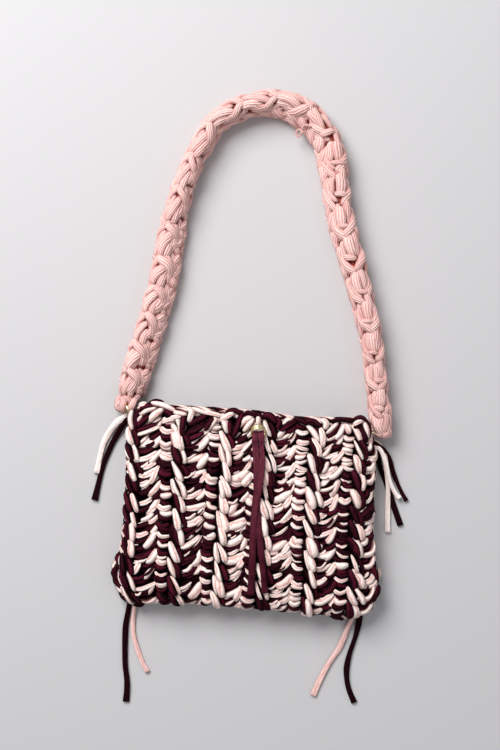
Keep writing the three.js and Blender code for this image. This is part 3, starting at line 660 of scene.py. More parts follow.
# All the columns, round the whole panel. The fan of the last repeat is cut short by the right seam.
def makePouchYarn(yarns):
    rng = np.random.default_rng(41)
    stitches = int((panelLong - 2 * pouch["firstStitch"]) / pouch["stitch"])
    grid = np.meshgrid(np.arange(-1, lastRepeat + 1), np.arange(stitches), indexing="ij")
    repeat, stitch = (g.ravel() for g in grid)
    top = pouch["firstStitch"] + stitch * pouch["stitch"] + rng.normal(0, uneven["top"], repeat.size)
    middle = ladderMiddle(repeat, top + pouch["stitch"] / 2)
    reach = (ladderMiddle(repeat + 1, top + pouch["stitch"] / 2) - middle) / pouch["repeat"]
    last = repeat == lastRepeat
    reach = np.where(last, (panelHalf - middle) / pouch["rightReach"], reach)
    columns = [  # kinds, their places, turn, share that is laid, and bow
        (ladderKinds, repeat >= 0, 0.16, 1.0, 0.0), (chainKinds, repeat >= -1, 0.08, 1.0, 0.0),
        (fanKinds, ~last, 0.1, 0.98, 2.0), (rightKinds, last, 0.06, 1.0, 0.6),
        (fillKinds, ~last, 0.1, 1.0, 0.0), (sliverKinds, ~last, 0.1, 1.0, 2.0),
    ]
    for kinds, used, spread, whole, bow in columns:
        layColumn(kinds, middle[used], reach[used], top[used], spread, whole, bow, rng, yarns)


# Loops round the side seams: an outer bow beside the first chain, and short slanting loops that join the
# two faces. Each is yarn, side, three places across from the seam and down from the stitch's top, half width
# and lift over the panel.
seamRows = [
    ("b", -1, -15, -3, -4, 6, -16, 16.5, 2.0, 1.2), ("m", -1, -13, 2, -5, 9, -14, 18, 2.2, 0.5),
    ("b", -1, -10, 0, 0, 5, 10, 9, 2.6, 0.6), ("m", -1, -10, 8, 0, 13, 10, 17, 2.6, 0.6),
    ("b", 1, -10, 9, 0, 4, 10, 0, 2.6, 0.6), ("m", 1, -10, 17, 0, 12, 10, 8, 2.6, 0.6),
]
seamUneven = {"points": 0.6, "width": 0.12, "widths": (0.7, 1.3)}


# Each loop once a stitch down the front, moved and swelled a little.
def makeSeamLoops(yarns):
    rng = np.random.default_rng(43)
    count = int(panelLong / 2 / pouch["stitch"])
    top = pouch["firstStitch"] + pouch["stitch"] * np.arange(count)
    for yarn, side, *numbers in seamRows:
        places = np.array(numbers[:6], float).reshape(3, 2)
        places = places + rng.normal(0, seamUneven["points"], (count, 3, 2))
        places[..., 0] = side * (places[..., 0] + panelHalf)
        places[..., 1] += top[:, None]
        half = numbers[6] * rng.normal(1, seamUneven["width"], count).clip(*seamUneven["widths"])
        yarns[yarn].append(layOnPouch(places, half, np.full(count, numbers[7]), np.full(count, 0.5)))


# The front lip, the stitches it binds and two loops lower on the left edge, one by one: yarn, half width,
# lift, then x and y at three places.
lipRows = [
    ("b", 3.0, 3.4, -97, 105.6, -84, 103, -72, 97.4), ("b", 2.9, 3.4, -74, 96.3, -67.5, 94.8, -61, 93.8),
    ("b", 3.4, 4.0, -60, 100, -56, 96.3, -59, 86), ("b", 2.6, 3.0, -56, 100, -48.5, 97.6, -41.5, 94.6),
    ("b", 2.4, 3.0, -79, 90.3, -71.5, 91.4, -65, 93.3), ("b", 2.3, 2.6, -85.5, 85.6, -79, 88.4, -71, 89.6),
    ("b", 3.7, 3.2, -99, 86, -93, 93.3, -84, 99.6), ("b", 2.7, 2.6, -108, 92, -100.5, 97.6, -91, 100.2),
    ("m", 3.0, 2.4, -107.5, 99.8, -100.5, 102.4, -92, 103.6), ("m", 3.6, 2.0, -83, 98, -79, 94.8, -75, 91.6),
    ("m", 3.8, 2.6, -41, 93.3, -48.6, 88.6, -59.5, 83), ("m", 3.6, 2.0, -35, 92, -39, 84.8, -44, 78),
    ("b", 2.4, 4.0, -45, 96, -34, 94.4, -24.5, 91.7), ("b", 3.1, 4.0, -27.5, 88, -21, 91.9, -13.8, 95.8),
    ("m", 2.7, 2.8, -22, 96.4, -13.3, 98.2, -5.4, 93), ("m", 3.5, 3.2, -5.4, 95, -9.5, 84.8, -14.4, 71),
    ("b", 3.5, 2.8, -11, 80.4, -2, 88.6, 5.2, 91), ("b", 3.1, 3.0, -4.4, 76.8, 1, 83.9, 6, 89.8),
    ("m", 2.7, 4.0, -2.6, 96.6, 7.7, 93.8, 17.4, 89.8), ("m", 4.3, 4.2, 15, 92.6, 21.8, 92.2, 28, 85.8),
    ("m", 3.1, 3.0, 28, 91.8, 31.2, 86.4, 29, 79.2), ("b", 2.4, 3.0, 34.3, 84, 38.7, 88.6, 43.2, 89.2),
    ("m", 3.0, 2.8, 31.6, 77, 41.7, 84.6, 50.8, 89.4), ("m", 2.7, 3.8, 45, 89.8, 52, 88, 59, 83.8),
    ("m", 3.7, 4.2, 57, 86.6, 64.5, 86.6, 72.6, 81.2), ("b", 3.5, 4.0, 73, 89, 77.4, 85.2, 76.6, 79.2),
    ("b", 3.5, 3.2, 71, 81, 74, 72.2, 74, 61), ("b", 2.5, 2.8, 78, 74.6, 84.3, 80.7, 89.6, 85.4),
    ("m", 3.1, 2.2, 78, 70, 85.3, 76.1, 90.6, 83), ("b", 3.1, 2.6, 87, 69, 92, 76.1, 95.2, 84),
    ("m", 2.5, 3.8, 82.4, 87.4, 94, 88.8, 105.8, 86), ("b", 3.3, 2.6, 97.4, 83.4, 99.5, 78.8, 100.7, 75),
    ("b", 2.6, 4.0, 104.8, 83.2, 109.5, 86.2, 114.8, 87.6), ("m", 2.5, 3.6, 104.8, 88.8, 112, 91, 118, 87.6),
    ("m", 2.0, 3.0, 117.2, 89, 121, 81.7, 121, 69.8), ("b", 3.0, 2.8, 115.4, 86, 118.2, 78.8, 119.2, 68.8),
    ("m", 2.3, 2.6, 104.8, 79.4, 108, 81.7, 111.2, 83.8),
    ("b", 3.3, 2.4, -115.6, 97.6, -117, 88.6, -114.6, 77.8),
    ("m", 2.7, 1.8, -112, 98.6, -112.6, 88.6, -111, 77.8),
    ("b", 2.7, 2.4, -108.5, 102.6, -104.4, 104, -100, 103.8),
    ("b", 1.9, 2.8, -33.6, 91.6, -32.2, 87.8, -39, 78.4), ("m", 4.0, 2.8, -64, 73.6, -52, 79, -41, 86.4),
    ("m", 3.5, 2.6, -63, 68.6, -54, 71.2, -44, 76.4), ("b", 3.2, 3.2, -75.4, 84, -72, 78.6, -70.6, 71),
    ("m", 1.8, 1.6, -99, 105, -92, 107.8, -84, 106.4), ("b", 5.2, 3.8, -74, 76.6, -70.8, 67, -69, 56.8),
    ("m", 4.3, 5.6, -111, 81.5, -105.6, 87.6, -99.5, 92.4),
    ("m", 2.8, 4.6, -111, 77.6, -101, 81.4, -91, 84.6),
    ("b", 1.6, 7.6, -109.8, 86.6, -107.6, 90, -105, 92.6),
    ("m", 3.2, 6.2, -110.4, 97, -110.8, 89, -111.4, 79),
    ("b", 2.6, 4.2, -110.8, 73, -99.4, 77, -87.5, 82), ("m", 3.4, 5.4, -63.4, 92, -64.4, 83, -65.4, 71),
    ("b", 2.7, 5.4, 10, 92.6, 10.2, 87.6, 10, 82.6), ("b", 3.4, 6.0, -118, 45, -115.4, 36.5, -112, 27),
    ("b", 3.0, 6.0, -116, 15, -113, 6.5, -110, -3.5),
]
lipLay = {"tilt": 0.25, "dive": 0.8, "least": 0.015}  # lean to the mouth, share of the dive, least share down


# Strands laid level on the face at the lip: height = the face's own height there + lift - dive * sink.
def makeLip(yarns):
    for yarn in ("b", "m"):
        rows = np.array([row[1:] for row in lipRows if row[0] == yarn])
        way = threePlaces @ rows[:, 2:].reshape(-1, 3, 2)
        across = (way[..., 0] - pouch["left"][0]) / (pouch["right"][0] - pouch["left"][0])
        mouth, fold = pouchEdges(across, np.zeros_like(across))[2:]
        down = ((mouth - way[..., 1]) / (mouth - fold)).clip(lipLay["least"], 1)
        crown = swell(2 * across - 1, pouch["frontCrown"]) * swell(2 * down - 1, pouch["mouthCrown"])
        wide, high, sink = strandShape(rows[:, 0], np.full(len(rows), 0.5))
        lift = rows[:, 1, None] - lipLay["dive"] * pouch["dive"] * sink
        height = pouch["seamHeight"] + pouch["rise"] * crown + lift
        way = np.concatenate([way, height[..., None]], axis=-1)
        up = np.broadcast_to((0.0, lipLay["tilt"], 1.0), way.shape)
        yarns[yarn].append(sweep(way, up, wide, high, yarnSection(pouch["sides"])) * mm)


# Loops at the lower corners, hooks at the right edge, and loops of the back panel where it shows beside the
# front: yarn, half width, then x, y and height at three places.
cornerRows = [
    ("b", 2.4, -124, -37, 12, -126.4, -45, 11, -124.5, -53, 12),
    ("m", 3.0, -126, -45, 11, -132, -52, 10, -128, -61, 12),
    ("b", 2.2, -130.5, -52, 11, -136, -60, 9, -132.5, -68, 11),
    ("m", 3.4, -129, -58, 12, -135.6, -67, 10, -129, -76, 12),
    ("m", 3.0, -134, -67, 10, -133.6, -76, 9, -125, -83, 12),
    ("b", 2.8, -133.6, -75, 9, -130, -84, 8, -122, -89, 11),
    ("m", 2.8, -130, -84, 9, -126, -91.5, 9, -118, -96, 12),
    ("m", 4.0, -124, -73, 17, -117, -86, 19, -108, -97, 15),
    ("b", 1.8, -122, -80, 17, -115, -91.5, 18, -107, -97, 14),
    ("m", 4.0, -121, -87, 14, -113.5, -96, 15, -105, -98.5, 12),
    ("m", 3.6, 77, -101, 14, 87, -109.5, 14, 98, -111, 12),
    ("b", 2.4, 93, -104, 15, 98, -110, 14, 102, -112, 12),
    ("m", 3.2, 88, -103, 17, 93, -110, 16, 95, -114, 13),
    ("m", 5.2, 112, -11, 33, 118.5, -4.5, 32.5, 125, 0.5, 25),
    ("b", 1.8, 125.4, 0, 14, 127, -6, 14, 122, -14, 15),
    ("m", 3.6, 122, -56, 28, 126.5, -64, 26.5, 129.5, -76, 20),
    ("b", 1.9, 132, -62, 9, 133, -68, 9, 131.6, -75, 9),
    ("m", 3.9, 131, -78, 20, 127.6, -86, 25.5, 119, -94, 28),
]


# Each yarn's loops, at the heights of their rows.
def makeCorners(yarns):
    for yarn in ("b", "m"):
        rows = [row[1:] for row in cornerRows if row[0] == yarn]
        yarns[yarn].append(layByHand(rows, stitchYarn["flat"], pouch["sides"]))


lipRope = {
    "yarns": 4, "steps": 150, "start": 0.045, "stop": 0.955,  # shares across
    "endHeight": 0.4, "turnLong": 44,  # share of the height at its ends; one turn in millimetres
    "layStep": 0.06, "reachStep": 0.35, "sizeStep": 0.4, "sway": 0.12,  # how its lay, reach and size wander
    "size": 0.95, "wide": 1.12, "high": 0.9,  # a yarn's size, as shares of the rope's radius
}


# A lip's border: four yarns laid like a rope round the top edge of a wall.
# Point = crest + radius * (cos turn, sin turn), with the turn growing along the crest.
def makeLipRope(yarns, height, forward, radius, seed):
    rng = np.random.default_rng(seed)
    steps = lipRope["steps"]
    across = np.linspace(lipRope["start"], lipRope["stop"], steps)
    p = 2 * across - 1
    left, right, mouth, fold = pouchEdges(across, np.zeros(steps))
    x = left + (right - left) * across
    drawn = pouch["cornerDraw"] * np.abs(p) ** pouch["cornerSharpness"]
    y = mouth + (fold - mouth) * drawn / 2 + forward
    z = height * (swell(p, pouch["frontCrown"]) * (1 - lipRope["endHeight"]) + lipRope["endHeight"])
    for number in range(lipRope["yarns"]):
        turn = 2 * np.pi / lipRope["yarns"] * number + 2 * np.pi * (x / lipRope["turnLong"])
        turn = turn + np.cumsum(rng.normal(0, lipRope["layStep"], steps))
        reach = radius * (1 + lipRope["sway"] * np.sin(np.cumsum(rng.normal(0, lipRope["reachStep"], steps))))
        outward = np.stack([np.zeros(steps), np.cos(turn), np.sin(turn)], axis=-1)
        way = np.stack([x, y, z], axis=-1) + reach[:, None] * outward
        sway = lipRope["sway"] * np.sin(np.cumsum(rng.normal(0, lipRope["sizeStep"], steps)))
        size = radius * (lipRope["size"] + sway)[None]
        section = yarnSection(pouch["sides"])
        points = sweep(way[None], outward[None], size * lipRope["wide"], size * lipRope["high"], section) * mm
        yarns["b" if number % 2 == 0 else "m"].append(points)


panel = {
    "sideGap": 0.5, "lipGap": 1.0, "across": 61, "down": 91, "wall": 3.5,
    "edges": [2, 18], "depths": [2.0, 5.5],  # it lies deeper where no seam or lip is near
}


# The panel behind the stitches: the surface on a grid over the whole folded panel, sunk by the depth, with
# an inner face one wall further in and a band round the rim. Its near-black deep yarn is painted shade in the
# gaps.
def makePanel():
    s = np.linspace(-panelHalf + panel["sideGap"], panelHalf - panel["sideGap"], panel["across"])
    d = np.linspace(panel["lipGap"], panelLong - panel["lipGap"], panel["down"])
    grid = np.meshgrid(s, d, indexing="ij")
    normal = pouchNormal(*grid)
    edge = np.minimum(panelHalf - np.abs(grid[0]), np.minimum(grid[1], panelLong - grid[1]))
    depth = np.interp(edge, panel["edges"], panel["depths"])[..., None]
    outer = pouchPlace(*grid) - depth * normal
    inner = outer - panel["wall"] * normal
    n, m = grid[0].shape
    index = np.arange(n * m).reshape(n, m)
    a, b, c, e = index[:-1, :-1], index[1:, :-1], index[1:, 1:], index[:-1, 1:]
    front = np.stack([a, e, c, b], axis=-1).reshape(-1, 4)
    back = np.stack([a, b, c, e], axis=-1).reshape(-1, 4) + n * m
    rim = np.concatenate([index[:-1, 0], index[-1, :-1], index[:0:-1, -1], index[0, :0:-1]])
    after = np.roll(rim, -1)
    band = np.stack([rim, after, after + n * m, rim + n * m], axis=-1)
    points = np.concatenate([outer.reshape(-1, 3), inner.reshape(-1, 3)]) * mm
    faces = np.concatenate([front, back, band])
    return meshObject("pouch_panel", points, faces, np.zeros((0, 3), int), deepJersey)


pouchYarns = {"b": [], "m": [], "d": []}  # blush, maroon and deep
makePouchYarn(pouchYarns)
makeSeamLoops(pouchYarns)
makeLip(pouchYarns)
makeCorners(pouchYarns)
makeLipRope(pouchYarns, height=29.0, forward=-2.4, radius=2.3, seed=47)  # front lip
makeLipRope(pouchYarns, height=6.0, forward=0.4, radius=2.0, seed=48)  # back lip
pouchPanel = settle(makePanel(), "maroon_yarn", "pouch")
pouchBlush = yarnObject("pouch_blush_yarn", pouchYarns["b"], blushJersey, 1)
pouchMaroon = yarnObject("pouch_maroon_yarn", pouchYarns["m"], maroonJersey, 2)
pouchDeep = yarnObject("pouch_deep_yarn", pouchYarns["d"], deepJersey, 4)
for piece, slot in ((pouchBlush, "blush_yarn"), (pouchMaroon, "maroon_yarn"), (pouchDeep, "maroon_yarn")):
    settle(piece, slot, "pouch")
print("pouch yarn laid,", sum(len(g) for kind in pouchYarns.values() for g in kind), "strands")

# Strap: a thick band of plied cotton on its edge, leaning out of the loop. Millimetres and degrees.

strap = {
    "x": [-119, -115, -104, -93, -84, -77, -69.5, -60, -46.5, -26, 16,
          52, 77, 85.5, 89, 94, 101, 110, 117.5, 123.5, 129, 135],
    "y": [108, 127, 163, 199, 233, 275, 308, 337, 366, 392.5, 407,
          399, 374, 345, 318, 288, 261, 228, 200, 174, 128, 73],
    "lean": [42, 45, 47, 46, 44, 36, 12, 6, 4, 6, 15, 43, 49, 42, 32, 26, 22, 14, 9, 3, 0, 0],
    "thickness": 20.5, "height": 30, "roundness": 3, "flatSpot": 1.2, "mostLean": 60,
    "endAt": [0, 3, 8, 14, 20], "endSize": [0.45, 0.66, 0.86, 0.96, 1], "tip": 1.5,  # rounded ends
    "edge": 4.5, "edgeLean": 25,  # the upper edge's pattern lies this far towards the loop at this lean,
    "squeeze": 0.72, "squeezePower": 0.6,  # and is this much narrower where the strap stands upright
    "bars": [0, 27, 54, 83, 113, 143, 178, 214, 248, 284, 320, 356,
             388, 420, 451, 483, 517, 550, 583, 613, 645, 675, 701, 727],  # lengths from end to end
    "unitLong": 33, "lastUnit": 1.4,  # a unit counts this much from bar to bar; none starts so near the end
    "archTop": 12.5, "faceChange": 8, "columnShift": 0.25,  # in units along
    "faces": (14.0, 22.0),  # each face's two columns, in millimetres round
    "cover": 4.0, "dive": 2.2, "sides": 8,  # the yarn lies on a core this much smaller all round
    "coreSteps": 260, "coreSides": 24, "coreInset": 0.6,
}


# The strap's way over the table: places and lean at each length along it.
def strapTable():
    share = np.linspace(0, 1, 2 * fineSteps + 1)
    x, y, lean = (readRows(strap[k], share) for k in ("x", "y", "lean"))
    length = np.concatenate([[0], np.cumsum(np.hypot(np.diff(x), np.diff(y)))])
    return length, x, y, lean


# The core's section: a soft rectangle, by length round it from its upper edge's middle towards the loop.
def strapSectionTable():
    turn = np.pi / 2 + np.linspace(0, 2 * np.pi, 2 * fineSteps + 1)
    soft = 2 / strap["roundness"]
    p = (strap["thickness"] / 2 - strap["cover"]) * np.sign(np.cos(turn)) * np.abs(np.cos(turn)) ** soft
    q = (strap["height"] / 2 - strap["cover"]) * np.sign(np.sin(turn)) * np.abs(np.sin(turn)) ** soft
    length = np.concatenate([[0], np.cumsum(np.hypot(np.diff(p), np.diff(q)))])
    return length, p, q


strapLength, strapX, strapY, strapLean = strapTable()
girthLength, girthP, girthQ = strapSectionTable()
strapLong, strapGirth = strapLength[-1], girthLength[-1]
leanSteps = np.radians(np.arange(strap["mostLean"] + 1))
leanedP = girthP * np.cos(leanSteps)[:, None] + girthQ * np.sin(leanSteps)[:, None]
leanedQ = girthQ * np.cos(leanSteps)[:, None] - girthP * np.sin(leanSteps)[:, None]
leanLow, leanMiddle = leanedQ.min(axis=1), (leanedP.min(axis=1) + leanedP.max(axis=1)) / 2


# A point of the strap's core at a length along it and round it: the section leaned out, then set on the
# table. Near both ends the section shrinks about its middle, which rounds them off.
def strapPlace(t, g):
    lean = np.radians(np.interp(t, strapLength, strapLean))
    x, y = np.interp(t, strapLength, strapX), np.interp(t, strapLength, strapY)
    dx = np.interp(t + 1, strapLength, strapX) - np.interp(t - 1, strapLength, strapX)
    dy = np.interp(t + 1, strapLength, strapY) - np.interp(t - 1, strapLength, strapY)
    size = np.maximum(np.hypot(dx, dy), 1e-9)
    g = np.mod(g, strapGirth)
    p, q = np.interp(g, girthLength, girthP), np.interp(g, girthLength, girthQ)
    ending = np.interp(np.minimum(t, strapLong - t), strap["endAt"], strap["endSize"])
    low, middle = np.interp(lean, leanSteps, leanLow), np.interp(lean, leanSteps, leanMiddle)
    outP = (p * np.cos(lean) + q * np.sin(lean) - middle) * ending
    up = (q * np.cos(lean) - p * np.sin(lean)) * ending - low
    z = up + strap["cover"] - strap["flatSpot"]
    return np.stack([x - dy / size * outP, y + dx / size * outP, z], axis=-1)


# The core's outward direction, from the points 1 mm along and 0.7 mm round.
def strapNormal(t, g):
    t = np.clip(t, strap["tip"], strapLong - strap["tip"])
    around = strapPlace(t, g + 0.7) - strapPlace(t, g - 0.7)
    along = strapPlace(t + 1, g) - strapPlace(t - 1, g)
    return unit(np.cross(around, along))


# Strands over the strap, through three places given as lengths along and round.
# Point = core + (lift - dive * sink) * outward direction.
def layOnStrap(places, half, lift, fat, flat):
    way = threePlaces @ places
    t, g = np.clip(way[..., 0], 0, strapLong), way[..., 1]
    wide, high, sink = strandShape(half, fat, flat)
    normal = strapNormal(t, g)
    points = strapPlace(t, g) + (lift[:, None] - strap["dive"] * sink)[..., None] * normal
    return sweep(points, normal, wide, high, yarnSection(strap["sides"])) * mm


# One unit of the band's edge, from bar to bar: along and round at three places, half width, lift and the
# share where it is fattest. Leaves fill the middle; two arms on each side pass the bar and close on the pit.
edgeStrands = [
    (9.0, 2.0, 18.0, 6.0, 31.0, 6.2, 4.2, 1.5, 0.5), (12.0, -2.4, 20.0, -5.4, 31.0, -6.0, 4.0, 1.4, 0.5),
    (13.0, -8.0, 27.0, -10.0, 40.0, -1.6, 4.5, 2.5, 0.5),
    (16.0, -13.5, 29.0, -14.0, 42.0, -6.0, 4.4, 1.7, 0.5),
    (14.0, 8.4, 27.0, 10.0, 40.0, 2.2, 4.3, 2.3, 0.5), (17.0, 13.5, 30.0, 13.5, 43.0, 6.5, 4.2, 1.6, 0.5),
]
# Leaves of the left leg and the arch: two slant up towards the loop, one slants against them and one fills
# the middle. The right leg has one fat leaf.
leftLeaves = [(4.0, -5.0, 15.0, -2.8, 30.0, 2.0, 4.7, 2.6, 0.5),
              (1.0, -9.6, 12.0, -8.0, 26.0, -3.4, 4.0, 2.2, 0.5),
              (11.0, 10.6, 21.0, 8.2, 32.0, 3.4, 4.3, 2.3, 0.5),
              (3.0, 1.8, 12.0, 2.2, 24.0, 3.4, 4.4, 1.7, 0.5)]
rightLeaves = [(9.0, 0.0, 19.0, 0.8, 32.0, 0.6, 5.6, 1.9, 0.45)]
# The bar before each pit: one long slanting strand on the left leg and the arch, a short one on the right leg
leftBars = [(-15.0, 9.0, -5.0, 4.8, 4.6, -4.2, 4.4, 3.2, 0.55)]
rightBars = [(-3.6, 6.0, -2.0, 0.6, 0.6, -5.8, 3.3, 3.7, 0.5)]
# Broad arms of the right leg, which cross under the pit
rightArms = [(19.0, -12.0, 30.0, -9.8, 44.0, 0.6, 4.8, 3.1, 0.55),
             (17.0, 13.0, 30.0, 11.0, 46.0, -1.0, 5.4, 3.0, 0.55)]
# Leaves on both sides of the bar, which fill the waist between units of the right leg, and one beside the pit
rightShoulders = [(-6.0, -17.0, 5.0, -15.0, 17.0, -17.0, 4.6, 3.2, 0.5),
                  (-5.0, 17.0, 6.0, 15.0, 18.0, 17.0, 4.6, 3.2, 0.5),
                  (2.0, -4.6, 13.0, -5.2, 28.0, -4.6, 4.2, 2.1, 0.5)]
# The faces, in half units and in two columns that slant against each other: short knots on the left leg, fat
# leaves on the right. The outer edge of the left leg and the arch has slanting loops of its own.
leftKnots = [(-0.8, -3.8, 4.2, -0.4, 9.2, 3.2, 4.3, 2.2, 0.5),
             (7.4, 3.4, 12.2, 0.2, 17.0, -3.6, 4.2, 1.9, 0.5)]
rightFans = [(-1.5, -4.2, 7.0, -0.4, 16.0, 4.2, 5.3, 2.1, 0.5)]
outerLoops = [(-1.0, -5.0, 5.0, -9.6, 12.5, -13.0, 3.7, 2.6, 0.5)]

strapUneven = {"points": 0.6, "place": 0.9, "width": 0.13, "widths": (0.75, 1.3), "lift": 0.3, "looser": 1.5}
strapFlat = {"edge": 0.46, "face": 0.62, "loop": 0.55}  # a strand's height for its width


# Units along both edges and half units on both faces. Along = the unit's start + place / unit length, read
# from the bars; round = place * squeeze + the middle of the edge or the face's column.
def makeStrapYarn():
    rng = np.random.default_rng(53)
    bars = np.array(strap["bars"]) * strapLong / strap["bars"][-1]
    units = np.arange(len(bars) - 1)
    groups = []

    def lay(strand, start, edge, facing, flat=strapFlat["edge"], loose=1.0):
        start = start[start < len(bars) - strap["lastUnit"]]
        count = start.size
        moved = rng.normal(0, strapUneven["points"], (count, 3, 2))
        moved = moved + rng.normal(0, strapUneven["place"], (count, 1, 2))
        places = np.array(strand[:6]).reshape(3, 2) + loose * moved
        along = start[:, None] + places[..., 0] / strap["unitLong"]
        places[..., 0] = np.interp(along, np.arange(len(bars)), bars)
        leaned = np.clip(np.interp(places[..., 0], strapLength, strapLean) / strap["edgeLean"], 0, 1)
        squeeze = strap["squeeze"] + (1 - strap["squeeze"]) * leaned
        places[..., 1] = places[..., 1] * facing * squeeze + edge + strap["edge"] * leaned
        width, rise, fattest = strand[6:]
        half = width * squeeze[:, 1] ** strap["squeezePower"]
        half = half * rng.normal(1, strapUneven["width"], count).clip(*strapUneven["widths"])
        lift = rise + rng.normal(0, strapUneven["lift"], count)
        groups.append(layOnStrap(places, half, lift, np.full(count, fattest), flat))

    left = units < strap["archTop"]
    lower = strapGirth / 2
    for strand in edgeStrands:
        lay(strand, units, 0.0, 1.0)
        lay(strand, units, lower, -1.0)
    for strand in leftLeaves + leftBars:
        lay(strand, units[left], 0.0, 1.0)
    for strand in rightLeaves + rightBars + rightArms:
        lay(strand, units[~left], 0.0, 1.0, loose=strapUneven["looser"])
        lay(strand, units, lower, -1.0)
    rows = np.arange(2 * units.size) / 2
    knotted = rows < strap["faceChange"]
    for side in (-1.0, 1.0):
        for column, place in enumerate(strap["faces"]):
            facing = side * (-1) ** column
            start = rows + column * strap["columnShift"]
            for strands, used in ((leftKnots, knotted), (rightFans, ~knotted)):
                for strand in strands:
                    lay(strand, start[used], side * place, facing, strapFlat["face"])
    for strand in outerLoops:
        lay(strand, rows[rows < strap["archTop"]], 0.0, 1.0, strapFlat["loop"])
    for strand in rightShoulders:
        lay(strand, units[~left], 0.0, 1.0, loose=strapUneven["looser"])
    return groups


# Loops that close the strap's ends round its rings: half width, then x, y and height at three places.
endRows = [
    (3.6, -121.5, 109, 17, -132, 102.5, 12, -124.5, 97, 12),
    (4.0, -124, 112, 19, -125.5, 103, 16, -122, 97.5, 12),
    (3.8, -118, 112, 17, -115.5, 105, 15, -119, 100.5, 11),
    (3.4, -130, 112, 13, -132, 101.5, 10, -126, 95.5, 9),
    (3.6, -113, 110, 20, -116, 103, 23, -118, 97.5, 21),
    (3.6, -123, 110, 20, -126, 101, 20, -124.5, 94.8, 15),
    (5.6, 126.5, 92, 23, 131, 81, 25, 139, 69.5, 17), (4.4, 132, 90, 22, 139, 80, 22, 143, 70, 14),
    (4.0, 138, 97, 22, 140.5, 88, 21, 142, 78, 15), (4.0, 125, 98, 20, 125, 90, 21, 127, 82, 18),
]

# A thin curl of yarn that hangs from the inner side of the arch: x, y and height of its middle.
curl = {"radius": 1.2, "flat": 0.8, "steps": 44}
curlRows = [(63, 382, 22), (58, 383.6, 22), (54.6, 381.6, 20), (53.6, 376.4, 17.5), (51.4, 373, 16),
            (48.8, 374.8, 15.5), (49.2, 379, 16.5), (52.4, 379.4, 18.5), (54.6, 375.4, 19)]


# A round section carried along the curl's smooth way.
def makeCurl():
    way = (wayMatrix(len(curlRows), curl["steps"]) @ np.array(curlRows, float))[None]
    size = np.full(way.shape[:2], curl["radius"])
    up = np.broadcast_to((0.0, 0.0, 1.0), way.shape)
    return sweep(way, up, size, curl["flat"] * size, yarnSection(strap["sides"])) * mm


# The strap's core: the section carried along the way, in one closed tube, in the shaded cotton: painted
# shade, deep rose where it shows in the pits.
def makeStrapCore():
    t = np.linspace(strap["tip"], strapLong - strap["tip"], strap["coreSteps"])
    g = np.arange(strap["coreSides"]) / strap["coreSides"] * strapGirth
    grid = np.meshgrid(t, -g, indexing="ij")
    points = (strapPlace(*grid) - strap["coreInset"] * strapNormal(*grid)) * mm
    return yarnObject("strap_core", [points[None]], deepCotton, 5)


strapGroups = makeStrapYarn() + [layByHand(endRows, strapFlat["edge"], strap["sides"]), makeCurl()]
settle(yarnObject("strap_yarn", strapGroups, salmonCotton, 3), "salmon_yarn", "strap")
settle(makeStrapCore(), "salmon_yarn", "strap")
print("strap yarn laid")

# Loose yarn: rolled jersey ends on the table and the tie down the face. Each place is x, y and the height of
# the yarn's underside.

looseYarn = {
    "halfHeight": 1.75, "tieHalfWidth": 3.4, "stepLong": 3, "leastSteps": 16,
    "slowPlaces": 9, "widthWave": 0.09, "heightWave": 0.06, "lean": 0.12,  # slow waves along it, as shares
    "rootWidth": 0.82, "rootSteps": 8, "cutWidths": (1.04, 1.1, 1.14),  # narrow root, spread at the cut
    "sides": 14, "furrows": 3, "furrowDepth": 0.08,
    # the tie's tone below is painted shade, darker towards its lower ends
    "tieDark": (-60, 75), "tieTone": (1.2, 0.0),  # the tie is darker towards its ends: y, and tone there
}
tailRows = {  # node, then each end's yarn, half width and places
    "tails_top_left": [
        ("blush", 3.1, [(-121, 94, 7), (-123, 92, 6), (-134, 84, 1.5), (-144, 70, 0), (-149, 57, 0),
                        (-154, 33, 0)]),
        ("maroon", 3.0, [(-121, 90, 6), (-124, 86, 5), (-134, 71, 0.5), (-142, 55, 0), (-149, 35, 0),
                         (-156, 6, 0)]),
    ],
    "tails_top_right": [
        ("blush", 2.6, [(126, 67, 9), (133, 62, 8), (138, 50, 6.5), (141, 31, 5), (142, 14, 2.4),
                        (142, -6, 0), (142, -27, 0)]),
        ("maroon", 3.0, [(126, 64, 5), (131, 53, 2), (135, 37, 0), (140, 25, 0), (147, 3, 0), (155, -20, 0)]),
        ("maroon", 2.5, [(127, 65, 12), (137, 58, 9), (144, 46, 2), (148, 33, 0), (154, 18, 0), (161, 5, 0)]),
        ("blush", 2.5, [(127, 62, 10), (134, 57, 12), (139, 44, 10.5), (143, 27, 6.5), (149, 14, 3.6),
                        (154, 8, 3.6)]),
    ],
    "tails_bottom_left": [
        ("maroon", 3.0, [(-119, -93, 4), (-120, -98, 3), (-124, -118, 0), (-125, -134, 0),
                         (-125, -160, 0), (-123, -180, 0), (-124, -199, 0)]),
        ("blush", 2.5, [(-115, -93, 4), (-115, -99, 3), (-117, -116, 0), (-116.5, -130, 0),
                        (-113, -144, 0), (-108, -158, 0), (-102, -169, 0)]),
    ],
    "tails_bottom_right": [
        ("blush", 2.9, [(109, -105, 4), (107, -110, 3), (100, -127, 0), (93, -144, 0), (83, -159, 0),
                        (74, -175, 0), (66, -193, 0)]),
        ("maroon", 2.8, [(114, -105, 4), (114, -110, 3), (110, -130, 0), (103, -151, 0), (100, -168, 0),
                         (102, -185, 0), (108, -200, 0)]),
    ],
}
tieRows = [
    [(12.4, 77, 38.5), (13.4, 70, 43), (13.6, 62, 40.4), (14, 46, 40.8), (10.5, 22, 42.6), (7.4, 5, 40.8),
     (5, -29, 39.3), (4.2, -60, 38.6), (2.5, -85, 36.5)],
    [(7.8, 77, 38.5), (6.8, 70, 43), (7.4, 62, 40), (8.4, 46, 39.4), (8.4, 22, 39.2), (9.8, -12, 39.2),
     (13.4, -46, 38.8), (15.2, -64, 38.2), (16.8, -83, 36.0)],
]


